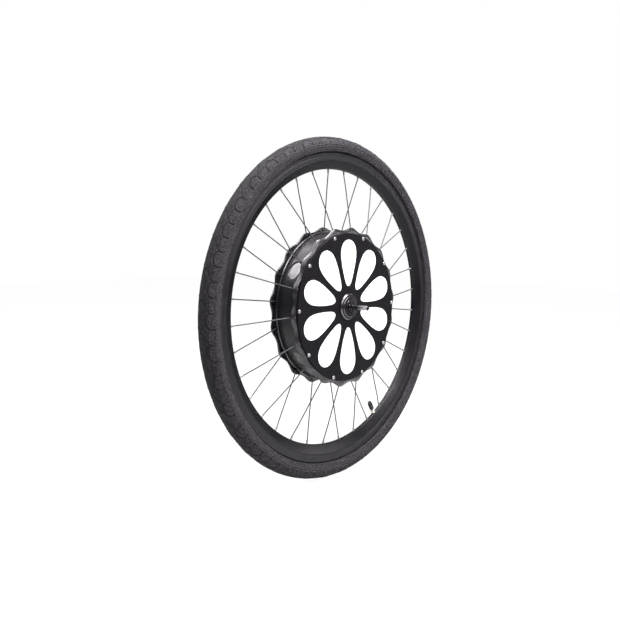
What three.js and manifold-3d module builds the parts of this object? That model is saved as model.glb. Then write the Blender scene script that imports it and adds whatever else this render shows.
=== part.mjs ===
// Hub motor wheel, 700C: spoked front wheel built around a large direct-drive hub motor with its battery inside.
// Millimetres. The wheel axis is +Y, the petal cover (the front) faces -Y, +Z is up. The origin is the wheel
// centre, in the middle plane of the rim. Angles are degrees in the XZ plane, from +X towards +Z.
import * as THREE from 'three';
import { mergeVertices } from 'three/addons/utils/BufferGeometryUtils.js';
import Module from 'manifold-3d';

const wasm = await Module();
wasm.setup();

// ---- driving dimensions: R is a radius, pairs are [lower y, upper y] -------------------------------------
const TYRE_R = 350;               // outside radius, 40-622
const TYRE_SECTION_R = 20;
const TYRE_WALL = 2.6;
const TYRE_CENTRE_R = TYRE_R - TYRE_SECTION_R;
const BEAD_R = 311;               // bead seat
const TUBE_SECTION_R = 13;
const TUBE_WALL = 1.4;
const TUBE_CENTRE_R = TYRE_CENTRE_R + 1.4;

const RIM_EDGE_R = 317;           // top of the rim side wall
const RIM_HALF_WIDTH = 13;        // at the brake track
const RIM_TRACK_R = 300.5;        // lower end of the brake track
const RIM_FLOOR_R = 308;          // floor between the side walls
const RIM_INNER_HALF_WIDTH = 10.9;
const RIM_BED_R = 282.8;          // narrow inner edge of the deep rim, where the nipples come out
const RIM_BED_HALF_WIDTH = 3.2;
const RING_SEGMENTS = 36;
const RIM_PHASE = 5;              // turns the facets of the rim and its tape

const FLANGE_PEAK_R = 162.6;
const FLANGE_TROUGH_R = 156.2;
const FLANGE_FRONT = [-38, -34];
const FLANGE_REAR = [20, 24];
const SCALLOP_POINTS = 4;         // outline points per flange scallop

const SPOKES_PER_SIDE = 18;
const SPOKE_STEP = 180 / SPOKES_PER_SIDE;    // from a front spoke to the next rear one
const SPOKE_ANGLE_FRONT = 4.15;   // first spoke of the front flange
const SPOKE_ANGLE_REAR = SPOKE_ANGLE_FRONT + SPOKE_STEP;
const SPOKE_HALF_WIDTH = 1.0925;
const SPOKE_HOLE_R = 154;         // circle of the flange holes
const SPOKE_Y_FRONT = FLANGE_FRONT[1] + 1.8; // where the spokes leave, on the inner side of each flange
const SPOKE_Y_REAR = FLANGE_REAR[0] - 1.8;
const ELBOW_OUT = 1.6;            // how far the elbow stands out of the flange
const NIPPLE_HALF_WIDTH = 1.8;    // over the spanner flats
const NIPPLE_END_R = 274.5;

const VALVE_ANGLE = 299.15;
const VALVE_HOLE_R = 3.6;

const DRUM_R = 150.6;
const DRUM_INNER_R = 142.4;
const SHELL_JOINT_Y = 9;
const LIP_R = 155.6;
const HUB_SEGMENTS = 36;

const COVER_R = 150.5;
const COVER = [-41, -38.3];
const SCREWS = 10;
const SCREW_CIRCLE_R = 145.8;
const SCREW_START_ANGLE = 108;
const SCREW_HOLE_R = 3.1;
const PETALS = 10;
const PETAL_START_ANGLE = 90;
// one side of a petal: [distance from the axis, half width]
const PETAL = [[42.6, 2.6], [53, 10.1], [78, 18.8], [98, 23.2], [113, 24.1], [126, 20.8], [135.4, 10.6]];
const PETAL_TIP_R = 137.6;
const PETAL_CLEARANCE = 0.35;

const AXLE_TIP_Y = 91;            // half length of the axle
const AXLE_THREAD_R = 4.75;
const AXLE_BEARING_R = 7.3;
const AXLE_MIDDLE_R = 9.2;
const AXLE_CORE_R = 12;
const AXLE_SHOULDER_Y = 45.6;     // where each thread starts
const AXLE_FLAT = 4.2;            // half distance between the flats
const HARDWARE_BORE_R = 5.1;
const DROPOUT_Y = 50;             // half of the 100 mm fork spacing

// 15 x 35 x 11 bearings: radii of both faces of each ring, and the width
const BEARING = { bore: 7.6, inner: 9.2, outer: 15.8, outside: 17.5, width: 11 };
const BEARING_Y = { front: -34.3, rear: 28 };
const BEARING_SEAT_R = BEARING.outside + 0.3;
const BALLS = 7;
const BALL_R = 3;
const BALL_CIRCLE_R = 12.5;
const SEAL_BORE_R = 7.8;

const STACK = [-20, 7];           // laminations
const STATOR_INNER_R = 108;
const STATOR_OUTER_R = 132.2;
const SLOT_FLOOR_R = 116;
const SLOTS = 18;
const POLES = 20;
const MAGNET_INNER_R = 133.2;
const MAGNET_OUTER_R = 136.2;
const YOKE_INNER_R = 137.2;
const YOKE_OUTER_R = 142;
const CABLE_R = 2.6;
const CABLE_HOLE_AT = [-52, -52]; // x, z of the hole through the stator carrier

// material of each kind of piece: [color, roughness, metalness]
const FINISH = {
  tyre: [0x2b2b2d, 0.85, 0],
  tube: [0x161616, 0.8, 0],
  tape: [0x9a2b22, 0.7, 0],
  rim: [0x17171a, 0.4, 0.3],
  nipples: [0xc9c9c9, 0.3, 0.9],
  spokes: [0xb9b9bd, 0.3, 0.9],
  valveStem: [0xc7b98c, 0.3, 0.9],
  valveRing: [0xb5b5b5, 0.35, 0.9],
  valveCap: [0x151515, 0.6, 0],
  shell: [0x0f0f12, 0.3, 0.4],
  rearCover: [0x0f0f12, 0.35, 0.4],
  frontCover: [0x121214, 0.45, 0.35],
  petals: [0xf4f4f4, 0.35, 0],
  screws: [0xd8d8da, 0.25, 0.9],
  bearingCap: [0x1b1b1e, 0.25, 0.7],
  seal: [0x0c0c0c, 0.7, 0],
  yoke: [0x77787c, 0.5, 0.8],
  magnets: [0x8c8f96, 0.3, 0.8],
  laminations: [0x5b5d62, 0.45, 0.8],
  windings: [0xb4672a, 0.35, 0.7],
  carrier: [0xa9acb2, 0.4, 0.8],
  battery: [0x1c4fa0, 0.5, 0],
  controller: [0x9da0a6, 0.4, 0.8],
  board: [0x1d5c34, 0.5, 0.1],
  phaseCable: [0x1a1a1a, 0.7, 0],
  batteryCable: [0xa02020, 0.7, 0],
  bearingRing: [0xbfc3c8, 0.2, 0.9],
  balls: [0xd5d8dc, 0.15, 0.95],
  axle: [0xc4c5c8, 0.3, 0.9],
  plug: [0x0a0a0a, 0.8, 0],
  dustShield: [0x2a2a2e, 0.3, 0.7],
  lockWasher: [0x38383c, 0.35, 0.8],
  locknut: [0x4a4a4e, 0.3, 0.85],
};

// ---- points and outlines, as lists of [x, z] -------------------------------------------------------------
const DEG = Math.PI / 180;
const range = (count) => [...Array(count).keys()];
const vector = (x, y, z) => new THREE.Vector3(x, y, z);
const polar = (radius, degrees) => [radius * Math.cos(degrees * DEG), radius * Math.sin(degrees * DEG)];
const around = (count, start, radius) => range(count).map((i) => polar(radius, start + 360 * i / count));
// point at a radius, set off sideways from the radial line at an angle
const beside = (radius, degrees, offset) => polar(radius, degrees + Math.asin(offset / radius) / DEG);
// circle about the axis whose points fall on those of a turned solid
const axisCircle = (radius, count) => range(count).map((i) => {
  const angle = 2 * Math.PI * i / count;
  return [radius * Math.sin(angle), radius * Math.cos(angle)];
});
const circle = ([x, z], radius, count) => around(count, 0, radius).map(([dx, dz]) => [x + dx, z + dz]);
// arc in a [radius, y] profile
const profileArc = (centre, radius, from, to, steps) => range(steps + 1).map((i) => {
  const [out, y] = polar(radius, from + (to - from) * i / steps);
  return [centre + out, y];
});

// ---- solids ----------------------------------------------------------------------------------------------
// welds a geometry into a closed solid, with its faces turned outwards
function solid(geometry) {
  for (const name of Object.keys(geometry.attributes)) {
    if (name !== 'position') geometry.deleteAttribute(name);
  }
  const welded = mergeVertices(geometry, 1e-4);
  const source = welded.index.array;
  const position = welded.attributes.position;
  const corners = [vector(), vector(), vector()];
  const triangles = [];
  let volume = 0;
  for (let i = 0; i < source.length; i += 3) {
    const ids = [source[i], source[i + 1], source[i + 2]];
    if (new Set(ids).size < 3) continue;
    triangles.push(ids);
    const [first, second, third] = corners.map((corner, k) => corner.fromBufferAttribute(position, ids[k]));
    volume += first.dot(second.cross(third));
  }
  const facing = volume < 0 ? triangles.map(([first, second, third]) => [first, third, second]) : triangles;
  return new wasm.Manifold(new wasm.Mesh({
    numProp: 3,
    vertProperties: new Float32Array(position.array),
    triVerts: new Uint32Array(facing.flat()),
  }));
}
const join = (first, ...rest) => rest.reduce((sum, part) => sum.add(part), first);
const cut = (first, ...rest) => rest.reduce((left, part) => left.subtract(part), first);

// solid of revolution about Y from a profile of [radius, y]; a profile that starts on the axis stays open
function turned(profile, segments, phase = 0) {
  const points = profile.map(([radius, y]) => new THREE.Vector2(radius, y));
  if (profile[0][0] !== 0) points.push(points[0].clone());
  return solid(new THREE.LatheGeometry(points, segments, phase * DEG));
}
function ring(inner, outer, [y0, y1], segments, phase) {
  return turned([[inner, y0], [outer, y0], [outer, y1], [inner, y1]], segments, phase);
}
const disc = (radius, y0, y1, segments) => turned([[0, y0], [radius, y0], [radius, y1], [0, y1]], segments);

function extruded(outline, holes, y0, y1) {
  const toPoints = (list) => list.map(([x, z]) => new THREE.Vector2(x, z));
  const shape = new THREE.Shape(toPoints(outline));
  shape.holes.push(...holes.map((list) => new THREE.Path(toPoints(list))));
  const geometry = new THREE.ExtrudeGeometry(shape, { depth: y1 - y0, bevelEnabled: false, steps: 1 });
  geometry.rotateX(Math.PI / 2);
  geometry.translate(0, y1, 0);
  return geometry;
}
const plate = (outline, holes, [y0, y1]) => solid(extruded(outline, holes, y0, y1));
// plate about y = 0 whose vertices are moved along the axis by shift(x, z)
function leaned(outline, holes, half, shift) {
  const geometry = extruded(outline, holes, -half, half);
  const position = geometry.attributes.position;
  for (let i = 0; i < position.count; i++) {
    position.setY(i, position.getY(i) + shift(position.getX(i), position.getZ(i)));
  }
  return solid(geometry);
}

function rod(from, to, radius, sides, spin = 0) {
  const along = to.clone().sub(from);
  const geometry = new THREE.CylinderGeometry(radius, radius, along.length(), sides, 1);
  geometry.rotateY(spin);
  along.normalize();
  const helper = Math.abs(along.y) < 0.9 ? vector(0, 1, 0) : vector(1, 0, 0);
  const across = along.clone().cross(helper).normalize();
  geometry.applyMatrix4(new THREE.Matrix4().makeBasis(across, along, across.clone().cross(along)));
  geometry.translate((from.x + to.x) / 2, (from.y + to.y) / 2, (from.z + to.z) / 2);
  return solid(geometry);
}
const axialRod = ([x, z], y0, y1, radius, sides) => rod(vector(x, y0, z), vector(x, y1, z), radius, sides);
function radialRod(fromR, toR, degrees, radius, sides, spin) {
  const [from, to] = [fromR, toR].map((distance) => {
    const [x, z] = polar(distance, degrees);
    return vector(x, 0, z);
  });
  return rod(from, to, radius, sides, spin);
}
function block([x0, x1, y0, y1, z0, z1]) {
  const geometry = new THREE.BoxGeometry(Math.abs(x1 - x0), Math.abs(y1 - y0), Math.abs(z1 - z0));
  geometry.translate((x0 + x1) / 2, (y0 + y1) / 2, (z0 + z1) / 2);
  return solid(geometry);
}

// ---- tyre, tube, rim -------------------------------------------------------------------------------------
function tyre() {
  const foot = BEAD_R + 0.6;
  const section = (radius, from, to) => profileArc(TYRE_CENTRE_R, radius, from, to, 6);
  return turned([
    [foot, -10.6], [RIM_EDGE_R + 1.7, -10.6],
    ...section(TYRE_SECTION_R, -123, 123),
    [RIM_EDGE_R + 1.7, 10.6], [foot, 10.6], [foot, 7.2], [RIM_EDGE_R + 3.8, 8],
    ...section(TYRE_SECTION_R - TYRE_WALL, 123, -123),
    [RIM_EDGE_R + 3.8, -8], [foot, -7.2],
  ], RING_SEGMENTS);
}

const valveHole = (fromR, toR, radius = VALVE_HOLE_R) => radialRod(fromR, toR, VALVE_ANGLE, radius, 6);

function innerTube() {
  const hexagonal = (radius) => turned(profileArc(TUBE_CENTRE_R, radius, 30, 330, 5), RING_SEGMENTS);
  return cut(hexagonal(TUBE_SECTION_R), hexagonal(TUBE_SECTION_R - TUBE_WALL), valveHole(300, 325));
}

const rimTape = () => cut(ring(309, 310.2, [-8.4, 8.4], RING_SEGMENTS, RIM_PHASE), valveHole(300, 320));

const spokeAngles = (start) => range(SPOKES_PER_SIDE).map((i) => start + 360 * i / SPOKES_PER_SIDE);

function rim() {
  const body = turned([
    [RIM_BED_R, -RIM_BED_HALF_WIDTH], [RIM_TRACK_R, -RIM_HALF_WIDTH],
    [RIM_EDGE_R, -RIM_HALF_WIDTH], [RIM_EDGE_R, -RIM_INNER_HALF_WIDTH],
    [RIM_FLOOR_R, -RIM_INNER_HALF_WIDTH], [RIM_FLOOR_R, RIM_INNER_HALF_WIDTH],
    [RIM_EDGE_R, RIM_INNER_HALF_WIDTH], [RIM_EDGE_R, RIM_HALF_WIDTH],
    [RIM_TRACK_R, RIM_HALF_WIDTH], [RIM_BED_R, RIM_BED_HALF_WIDTH],
  ], RING_SEGMENTS, RIM_PHASE);
  const chamber = turned([
    [285.6, -2.4], [301, -11], [304.6, -11], [304.6, 11], [301, 11], [285.6, 2.4],
  ], RING_SEGMENTS, RIM_PHASE);
  const holeR = (NIPPLE_HALF_WIDTH + 0.6) * Math.SQRT2;    // to the corners of the square hole
  const nippleHoles = [...spokeAngles(SPOKE_ANGLE_FRONT), ...spokeAngles(SPOKE_ANGLE_REAR)]
    .map((angle) => radialRod(278, 290, angle, holeR, 4, Math.PI / 4));
  return cut(body, chamber, ...nippleHoles, valveHole(278, 312));
}

// ---- spokes and nipples ----------------------------------------------------------------------------------
// y at a radius on the line from a spoke's flange end to the middle plane at the rim bed
const spokeLine = (radius, flangeY) => flangeY * (RIM_BED_R - radius) / (RIM_BED_R - SPOKE_HOLE_R);

// square nipples; their heads sit in the rim chamber, joined there by a thin hidden ring
function spokeNipples() {
  const headR = 288;
  const width = NIPPLE_HALF_WIDTH;
  const angles = range(2 * SPOKES_PER_SIDE).map((i) => SPOKE_ANGLE_FRONT + SPOKE_STEP * i);
  const inside = angles.flatMap((angle) => [
    beside(headR, angle, -width), beside(NIPPLE_END_R, angle, -width),
    beside(NIPPLE_END_R, angle, width), beside(headR, angle, width),
  ]);
  // outside the chamber each nipple leans half as much as its spoke
  const lean = (x, z) => {
    const radius = Math.hypot(x, z);
    if (radius > RIM_BED_R) return 0;
    const index = Math.round((Math.atan2(z, x) / DEG - SPOKE_ANGLE_FRONT) / SPOKE_STEP);
    return 0.5 * spokeLine(radius, index % 2 === 0 ? SPOKE_Y_FRONT : SPOKE_Y_REAR);
  };
  const outside = angles.map((angle) => polar(289.2, angle));
  return cut(leaned(outside, [inside], width, lean), valveHole(280, 300, 3.8));
}

// straight spokes with elbows through the flange; a thin ring joins each set
function spokeSet(start, innerY, outerY) {
  const width = SPOKE_HALF_WIDTH;
  const rootR = SPOKE_HOLE_R + 0.6;
  const endR = NIPPLE_END_R - 0.3;
  const angles = spokeAngles(start);
  const outline = angles.flatMap((angle) => [
    beside(rootR, angle, -width), beside(endR, angle, -width),
    beside(endR, angle, width), beside(rootR, angle, width),
  ]);
  const inside = angles.map((angle) => polar(SPOKE_HOLE_R - 0.6, angle));
  const lean = (x, z) => spokeLine(Math.max(SPOKE_HOLE_R, Math.hypot(x, z)), innerY);
  const elbows = angles.map((angle) => axialRod(polar(SPOKE_HOLE_R, angle), innerY, outerY, 1.3, 4));
  return join(leaned(outline, [inside], width, lean), ...elbows);
}

// ---- valve -----------------------------------------------------------------------------------------------
const valveRod = (fromR, toR, radius) => radialRod(fromR, toR, VALVE_ANGLE, radius, 8);
const valveStem = () => join(valveRod(272, 323, 2.9), valveRod(264.4, 272.2, 1.9));
const valveLockRing = () => cut(valveRod(277.8, 281.2, 5), valveRod(277, 284, 3.2));
const valveCap = () => cut(valveRod(252.4, 271.6, 4.9), valveRod(256.4, 272.4, 3.4));

// ---- hub shell and covers --------------------------------------------------------------------------------
const screwPlaces = around(SCREWS, SCREW_START_ANGLE, SCREW_CIRCLE_R);
const screwRods = (y0, y1, radius) => screwPlaces.map((place) => axialRod(place, y0, y1, radius, 4));

// scalloped plate with a peak at each spoke hole
function flange(start, openingR, span) {
  const middle = (FLANGE_PEAK_R + FLANGE_TROUGH_R) / 2;
  const swing = (FLANGE_PEAK_R - FLANGE_TROUGH_R) / 2;
  const count = SPOKES_PER_SIDE * SCALLOP_POINTS;
  const outline = range(count).map((i) => (
    polar(middle + swing * Math.cos(2 * Math.PI * i / SCALLOP_POINTS), start + 360 * i / count)
  ));
  const holes = around(SPOKES_PER_SIDE, start, SPOKE_HOLE_R).map((place) => circle(place, 2.35, 4));
  return plate(outline, [axisCircle(openingR, HUB_SEGMENTS), ...holes], span);
}

function hubShell() {
  const drum = turned([
    [DRUM_R, -35], [DRUM_R, SHELL_JOINT_Y], [DRUM_INNER_R, SHELL_JOINT_Y],
    [DRUM_INNER_R, -30], [140, -30], [140, -35],
  ], HUB_SEGMENTS);
  const body = join(flange(SPOKE_ANGLE_FRONT, 140, FLANGE_FRONT), drum);
  return cut(body, ...screwRods(-40, 12, SCREW_HOLE_R));
}

function rearCover() {
  const wall = turned([
    [LIP_R, SHELL_JOINT_Y + 0.3], [LIP_R, 13], [DRUM_R, 14], [DRUM_R, 23.5], [24, 23.5], [24, 21],
    [DRUM_INNER_R, 21], [DRUM_INNER_R, 12.6], [148.6, 12.6], [148.6, SHELL_JOINT_Y + 0.3],
  ], HUB_SEGMENTS);
  const boss = turned([
    [38, 23], [30, 30], [30, 39.5], [17.4, 39.5], [17.4, 41.5], [13.2, 41.5], [13.2, 34],
    [BEARING_SEAT_R, 34], [BEARING_SEAT_R, 21.4], [38, 21.4],
  ], 18);
  const bossHoles = around(6, 0, 23.4).map((place) => axialRod(place, 31, 41, 2.5, 4));
  const body = join(flange(SPOKE_ANGLE_REAR, 143, FLANGE_REAR), wall, boss);
  return cut(body, ...screwRods(5, 19.4, SCREW_HOLE_R), ...bossHoles);
}

function petalOutlines(grow) {
  const edge = PETAL.map(([out, half], i) => [i === 0 ? out - grow : out, half + grow]);
  const outline = [
    ...edge.map(([out, half]) => [out, -half]),
    [PETAL_TIP_R + grow, 0],
    ...edge.toReversed(),
  ];
  return range(PETALS).map((k) => {
    const [cos, sin] = polar(1, PETAL_START_ANGLE + 360 / PETALS * k);
    return outline.map(([out, off]) => [out * cos - off * sin, out * sin + off * cos]);
  });
}

// petal cover with its bearing seat
function frontCover() {
  const screwHoles = screwPlaces.map((place) => circle(place, SCREW_HOLE_R, 4));
  const face = plate(axisCircle(COVER_R, HUB_SEGMENTS), [...petalOutlines(0), ...screwHoles], COVER);
  return cut(join(face, disc(23, -39, -28.6, 20)), disc(BEARING_SEAT_R, -45, -20, 20));
}

// backing disc with petals that stand in the openings of the front cover
function petalInsert() {
  const backing = plate(axisCircle(139.2, HUB_SEGMENTS), [], [-37.6, -36.2]);
  const petals = petalOutlines(-PETAL_CLEARANCE).map((outline) => plate(outline, [], [-40.3, -37]));
  return cut(join(backing, ...petals), disc(25, -45, -20, 12));
}

// long screws: heads outside, shanks through the drum into the rear cover, joined by a thin hidden ring
function coverScrews() {
  const heads = screwPlaces.map((place) => axialRod(place, -43, -41.3, 4, 6));
  const link = ring(SCREW_CIRCLE_R - 0.7, SCREW_CIRCLE_R + 0.7, [10, 11.4], 20);
  return join(link, ...heads, ...screwRods(-42, 18.6, 1.9));
}

const bearingCap = () => turned([[27, -41.3], [27, -44.2], [25.6, -45.4], [14, -45.4], [14, -41.3]], 20);
const seal = (outer, span) => ring(SEAL_BORE_R, outer, span, 16);

// ---- rotor and stator ------------------------------------------------------------------------------------
const rotorYoke = () => ring(YOKE_INNER_R, YOKE_OUTER_R, [STACK[0] - 0.5, STACK[1] + 0.5], HUB_SEGMENTS);

// magnets, joined behind by a closed band
function magnetRing() {
  const pitch = 360 / POLES;
  const half = pitch * 0.41;
  const stepR = MAGNET_OUTER_R - 1;
  const face = [
    [stepR, -half - 0.02], [MAGNET_INNER_R, -half], [MAGNET_INNER_R, 0],
    [MAGNET_INNER_R, half], [stepR, half + 0.02],
  ];
  const back = [-half, 0, half].map((angle) => [MAGNET_OUTER_R, angle]);
  const repeated = (points) => range(POLES).flatMap((i) => (
    points.map(([radius, angle]) => polar(radius, pitch * i + angle))
  ));
  return plate(repeated(back), [repeated(face)], STACK);
}

function statorCore() {
  // one tooth and slot: [radius, angle as a share of the slot pitch]
  const tooth = [
    [STATOR_OUTER_R, -0.36], [STATOR_OUTER_R, 0], [STATOR_OUTER_R, 0.36],
    [SLOT_FLOOR_R, 0.3], [SLOT_FLOOR_R, 0.7],
  ];
  const outline = range(SLOTS).flatMap((i) => (
    tooth.map(([radius, share]) => polar(radius, 360 / SLOTS * (i + share)))
  ));
  return plate(outline, [axisCircle(STATOR_INNER_R, HUB_SEGMENTS)], STACK);
}

// a ring beyond each end of the laminations, joined by a bar in each slot
function statorWindings() {
  const [low, high] = STACK;
  const endRing = (span) => ring(118.5, 131, span, SLOTS);
  const bars = range(SLOTS).map((i) => {
    const bar = new THREE.BoxGeometry(9.4, high - low + 3, 11);
    bar.translate(123.6, (low + high) / 2, 0);
    bar.rotateY(-(360 / SLOTS) * (i + 0.5) * DEG);
    return solid(bar);
  });
  return join(endRing([low - 5, low - 0.5]), endRing([high + 0.5, high + 5]), ...bars);
}

function statorCarrier() {
  const boreR = AXLE_CORE_R + 0.3;
  const body = turned([
    [boreR, -12], [19, -12], [19, -3], [104, -3], [104, -19], [107.5, -19],
    [107.5, 6], [104, 6], [104, 1], [19, 1], [19, 8], [boreR, 8],
  ], 24);
  return cut(body, axialRod(CABLE_HOLE_AT, -8, 5, 6, 8));
}

// ---- battery and controller ------------------------------------------------------------------------------
// arc-shaped pack on the front side of the carrier, one to each quarter
function batteryModule(quarter) {
  const start = 90 * quarter;
  const outer = range(6).map((i) => polar(98, start + 4 + 82 * i / 5));
  const inner = range(3).map((i) => polar(30, start + 10 + 70 * i / 2));
  return plate([...outer, ...inner.reverse()], [], [-33.6, -3.6]);
}

// controller blocks on the rear side of the carrier: [x0, x1, y0, y1, z0, z1]
const CASE_OUTSIDE = [-34, 34, 1.4, 15, 38, 88];
const CASE_INSIDE = [-31.5, 31.5, 4, 16, 40.5, 85.5];
const CASE_LID = [-34, 34, 15.4, 16.8, 38, 88];
const BOARD_AND_PARTS = [
  [-31, 31, 6.2, 7.8, 41, 85],
  [-26, -14, 7, 12.4, 48, 60],
  [-10, 2, 7, 12.4, 48, 60],
  [6, 18, 7, 12.4, 48, 60],
  [-20, 16, 7, 10.6, 68, 78],
];
// points along each cable: [x, y, z]
const PHASE_CABLE = [[35.6, 9, 62], [50, 9, 66], [70, 11, 74], [84, 15.2, 78], [91.5, 16.4, 80]];
const BATTERY_CABLE = [[-36, 9, 61], [-52, 9, 52], [-64, 8, 10], [-60, 6, -36], [-52, 4.2, -52]];

function cable(points) {
  const path = new THREE.CatmullRomCurve3(points.map((at) => vector(...at)), false, 'centripetal');
  const section = new THREE.Shape(circle([0, 0], CABLE_R, 6).map(([x, y]) => new THREE.Vector2(x, y)));
  return solid(new THREE.ExtrudeGeometry(section, { steps: 8, extrudePath: path, bevelEnabled: false }));
}

// ---- bearings, built about y = 0 -------------------------------------------------------------------------
const bearingSpan = [-BEARING.width / 2, BEARING.width / 2];
const innerRing = () => ring(BEARING.bore, BEARING.inner, bearingSpan, 16);
const outerRing = () => ring(BEARING.outer, BEARING.outside, bearingSpan, 20);
function ballsAndCage() {
  const cage = turned([[11.9, -1.2], [13.2, -1.2], [12.5, 1.4]], 14);
  const balls = around(BALLS, 0, BALL_CIRCLE_R).map(([x, z]) => {
    const ball = new THREE.SphereGeometry(BALL_R, 6, 4);
    ball.translate(x, 0, z);
    return solid(ball);
  });
  return join(cage, ...balls);
}

// ---- axle and its hardware; end is -1 at the front, 1 at the rear ----------------------------------------
function axle() {
  const body = turned([
    [0, -AXLE_TIP_Y], [4.3, -AXLE_TIP_Y], [AXLE_THREAD_R, -AXLE_TIP_Y + 0.6],
    [AXLE_THREAD_R, -AXLE_SHOULDER_Y], [AXLE_BEARING_R, -AXLE_SHOULDER_Y],
    [AXLE_BEARING_R, -28.4], [AXLE_MIDDLE_R, -28.4], [AXLE_MIDDLE_R, -12.4],
    [AXLE_CORE_R, -12.4], [AXLE_CORE_R, 8.4], [AXLE_MIDDLE_R, 8.4],
    [AXLE_MIDDLE_R, 22.2], [AXLE_BEARING_R, 22.2], [AXLE_BEARING_R, AXLE_SHOULDER_Y],
    [AXLE_THREAD_R, AXLE_SHOULDER_Y], [AXLE_THREAD_R, AXLE_TIP_Y - 0.6],
    [4.3, AXLE_TIP_Y], [0, AXLE_TIP_Y],
  ], 12);
  const cuts = [-1, 1].flatMap((end) => [
    axialRod([0, 0], 92 * end, 80 * end, 3.4, 8),
    ...[-1, 1].map((side) => block([AXLE_FLAT * side, 6 * side, 58.6 * end, 84 * end, -6, 6])),
  ]);
  return cut(body, ...cuts);
}
const axlePlug = (end) => axialRod([0, 0], 81 * end, 90.6 * end, 3.05, 8);
const dustShield = (end) => turned([
  [HARDWARE_BORE_R, 45.8 * end], [21.5, 45.8 * end], [21.5, 46.3 * end],
  [20.8, 46.8 * end], [HARDWARE_BORE_R, 46.8 * end],
], 18);
const lockWasher = (end) => ring(HARDWARE_BORE_R, 14.6, [47.1 * end, 47.8 * end], 18);
const locknut = (end) => cut(
  axialRod([0, 0], 48.1 * end, DROPOUT_Y * end, 9.8, 6),
  axialRod([0, 0], 47 * end, 52 * end, HARDWARE_BORE_R, 12),
);

// ---- assembly --------------------------------------------------------------------------------------------
const wheel = new THREE.Group();
const turning = new THREE.Group();    // everything that turns with the tyre
wheel.add(turning);

function add(parent, name, shape, [color, roughness, metalness], y = 0) {
  const { vertProperties, triVerts } = shape.getMesh();
  const geometry = new THREE.BufferGeometry();
  geometry.setAttribute('position', new THREE.BufferAttribute(new Float32Array(vertProperties), 3));
  geometry.setIndex(new THREE.BufferAttribute(new Uint32Array(triVerts), 1));
  geometry.computeVertexNormals();
  const material = new THREE.MeshStandardMaterial({ color, roughness, metalness });
  const mesh = new THREE.Mesh(geometry, material);
  mesh.name = name;
  mesh.position.y = y;
  parent.add(mesh);
}

const frontSpokes = spokeSet(SPOKE_ANGLE_FRONT, SPOKE_Y_FRONT, FLANGE_FRONT[0] - ELBOW_OUT);
const rearSpokes = spokeSet(SPOKE_ANGLE_REAR, SPOKE_Y_REAR, FLANGE_REAR[1] + ELBOW_OUT);
add(turning, 'tyre', tyre(), FINISH.tyre);
add(turning, 'inner_tube', innerTube(), FINISH.tube);
add(turning, 'rim_tape', rimTape(), FINISH.tape);
add(turning, 'rim', rim(), FINISH.rim);
add(turning, 'spoke_nipples', spokeNipples(), FINISH.nipples);
add(turning, 'spokes_front', frontSpokes, FINISH.spokes);
add(turning, 'spokes_rear', rearSpokes, FINISH.spokes);
add(turning, 'valve_stem', valveStem(), FINISH.valveStem);
add(turning, 'valve_lock_ring', valveLockRing(), FINISH.valveRing);
add(turning, 'valve_cap', valveCap(), FINISH.valveCap);
add(turning, 'hub_shell', hubShell(), FINISH.shell);
add(turning, 'rear_cover', rearCover(), FINISH.rearCover);
add(turning, 'front_cover', frontCover(), FINISH.frontCover);
add(turning, 'petal_insert', petalInsert(), FINISH.petals);
add(turning, 'cover_screws', coverScrews(), FINISH.screws);
add(turning, 'bearing_cap_front', bearingCap(), FINISH.bearingCap);
add(turning, 'seal_front', seal(13.5, [-45.2, -41.6]), FINISH.seal);
add(turning, 'seal_rear', seal(12.8, [35.4, 41.2]), FINISH.seal);
add(turning, 'rotor_yoke', rotorYoke(), FINISH.yoke);
add(turning, 'magnet_ring', magnetRing(), FINISH.magnets);

add(wheel, 'stator_core', statorCore(), FINISH.laminations);
add(wheel, 'stator_windings', statorWindings(), FINISH.windings);
add(wheel, 'stator_carrier', statorCarrier(), FINISH.carrier);
for (const i of range(4)) add(wheel, `battery_module_${i + 1}`, batteryModule(i), FINISH.battery);
add(wheel, 'controller_case', cut(block(CASE_OUTSIDE), block(CASE_INSIDE)), FINISH.controller);
add(wheel, 'controller_lid', block(CASE_LID), FINISH.controller);
add(wheel, 'controller_board', join(...BOARD_AND_PARTS.map(block)), FINISH.board);
add(wheel, 'phase_cable', cable(PHASE_CABLE), FINISH.phaseCable);
add(wheel, 'battery_cable', cable(BATTERY_CABLE), FINISH.batteryCable);
for (const [side, y] of Object.entries(BEARING_Y)) {
  add(wheel, `bearing_${side}_inner_ring`, innerRing(), FINISH.bearingRing, y);
  add(turning, `bearing_${side}_outer_ring`, outerRing(), FINISH.bearingRing, y);
  add(wheel, `bearing_${side}_balls`, ballsAndCage(), FINISH.balls, y);
}
add(wheel, 'axle', axle(), FINISH.axle);
for (const [side, end] of [['front', -1], ['rear', 1]]) {
  add(wheel, `axle_plug_${side}`, axlePlug(end), FINISH.plug);
  add(wheel, `dust_shield_${side}`, dustShield(end), FINISH.dustShield);
  add(wheel, `lock_washer_${side}`, lockWasher(end), FINISH.lockWasher);
  add(wheel, `locknut_${side}`, locknut(end), FINISH.locknut);
}

export default wheel;
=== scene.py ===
"""Hub motor wheel: tyre, rim, spokes, motor hub with a petal cover, and axle.

The wheel axis is Y and passes through the origin. The petal cover faces -Y, which is called the
front, and +Z is up. Angles lie in the XZ plane, from +X towards +Z. Pieces are built in
millimetres and scaled to metres when a mesh is made. The studio is in metres.
A part is a tuple of vertices, quads and triangles. A profile is a list of (radius, y).
"""
import bpy
import math
import numpy as np
from mathutils import Matrix, Vector
from mathutils.geometry import delaunay_2d_cdt


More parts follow.
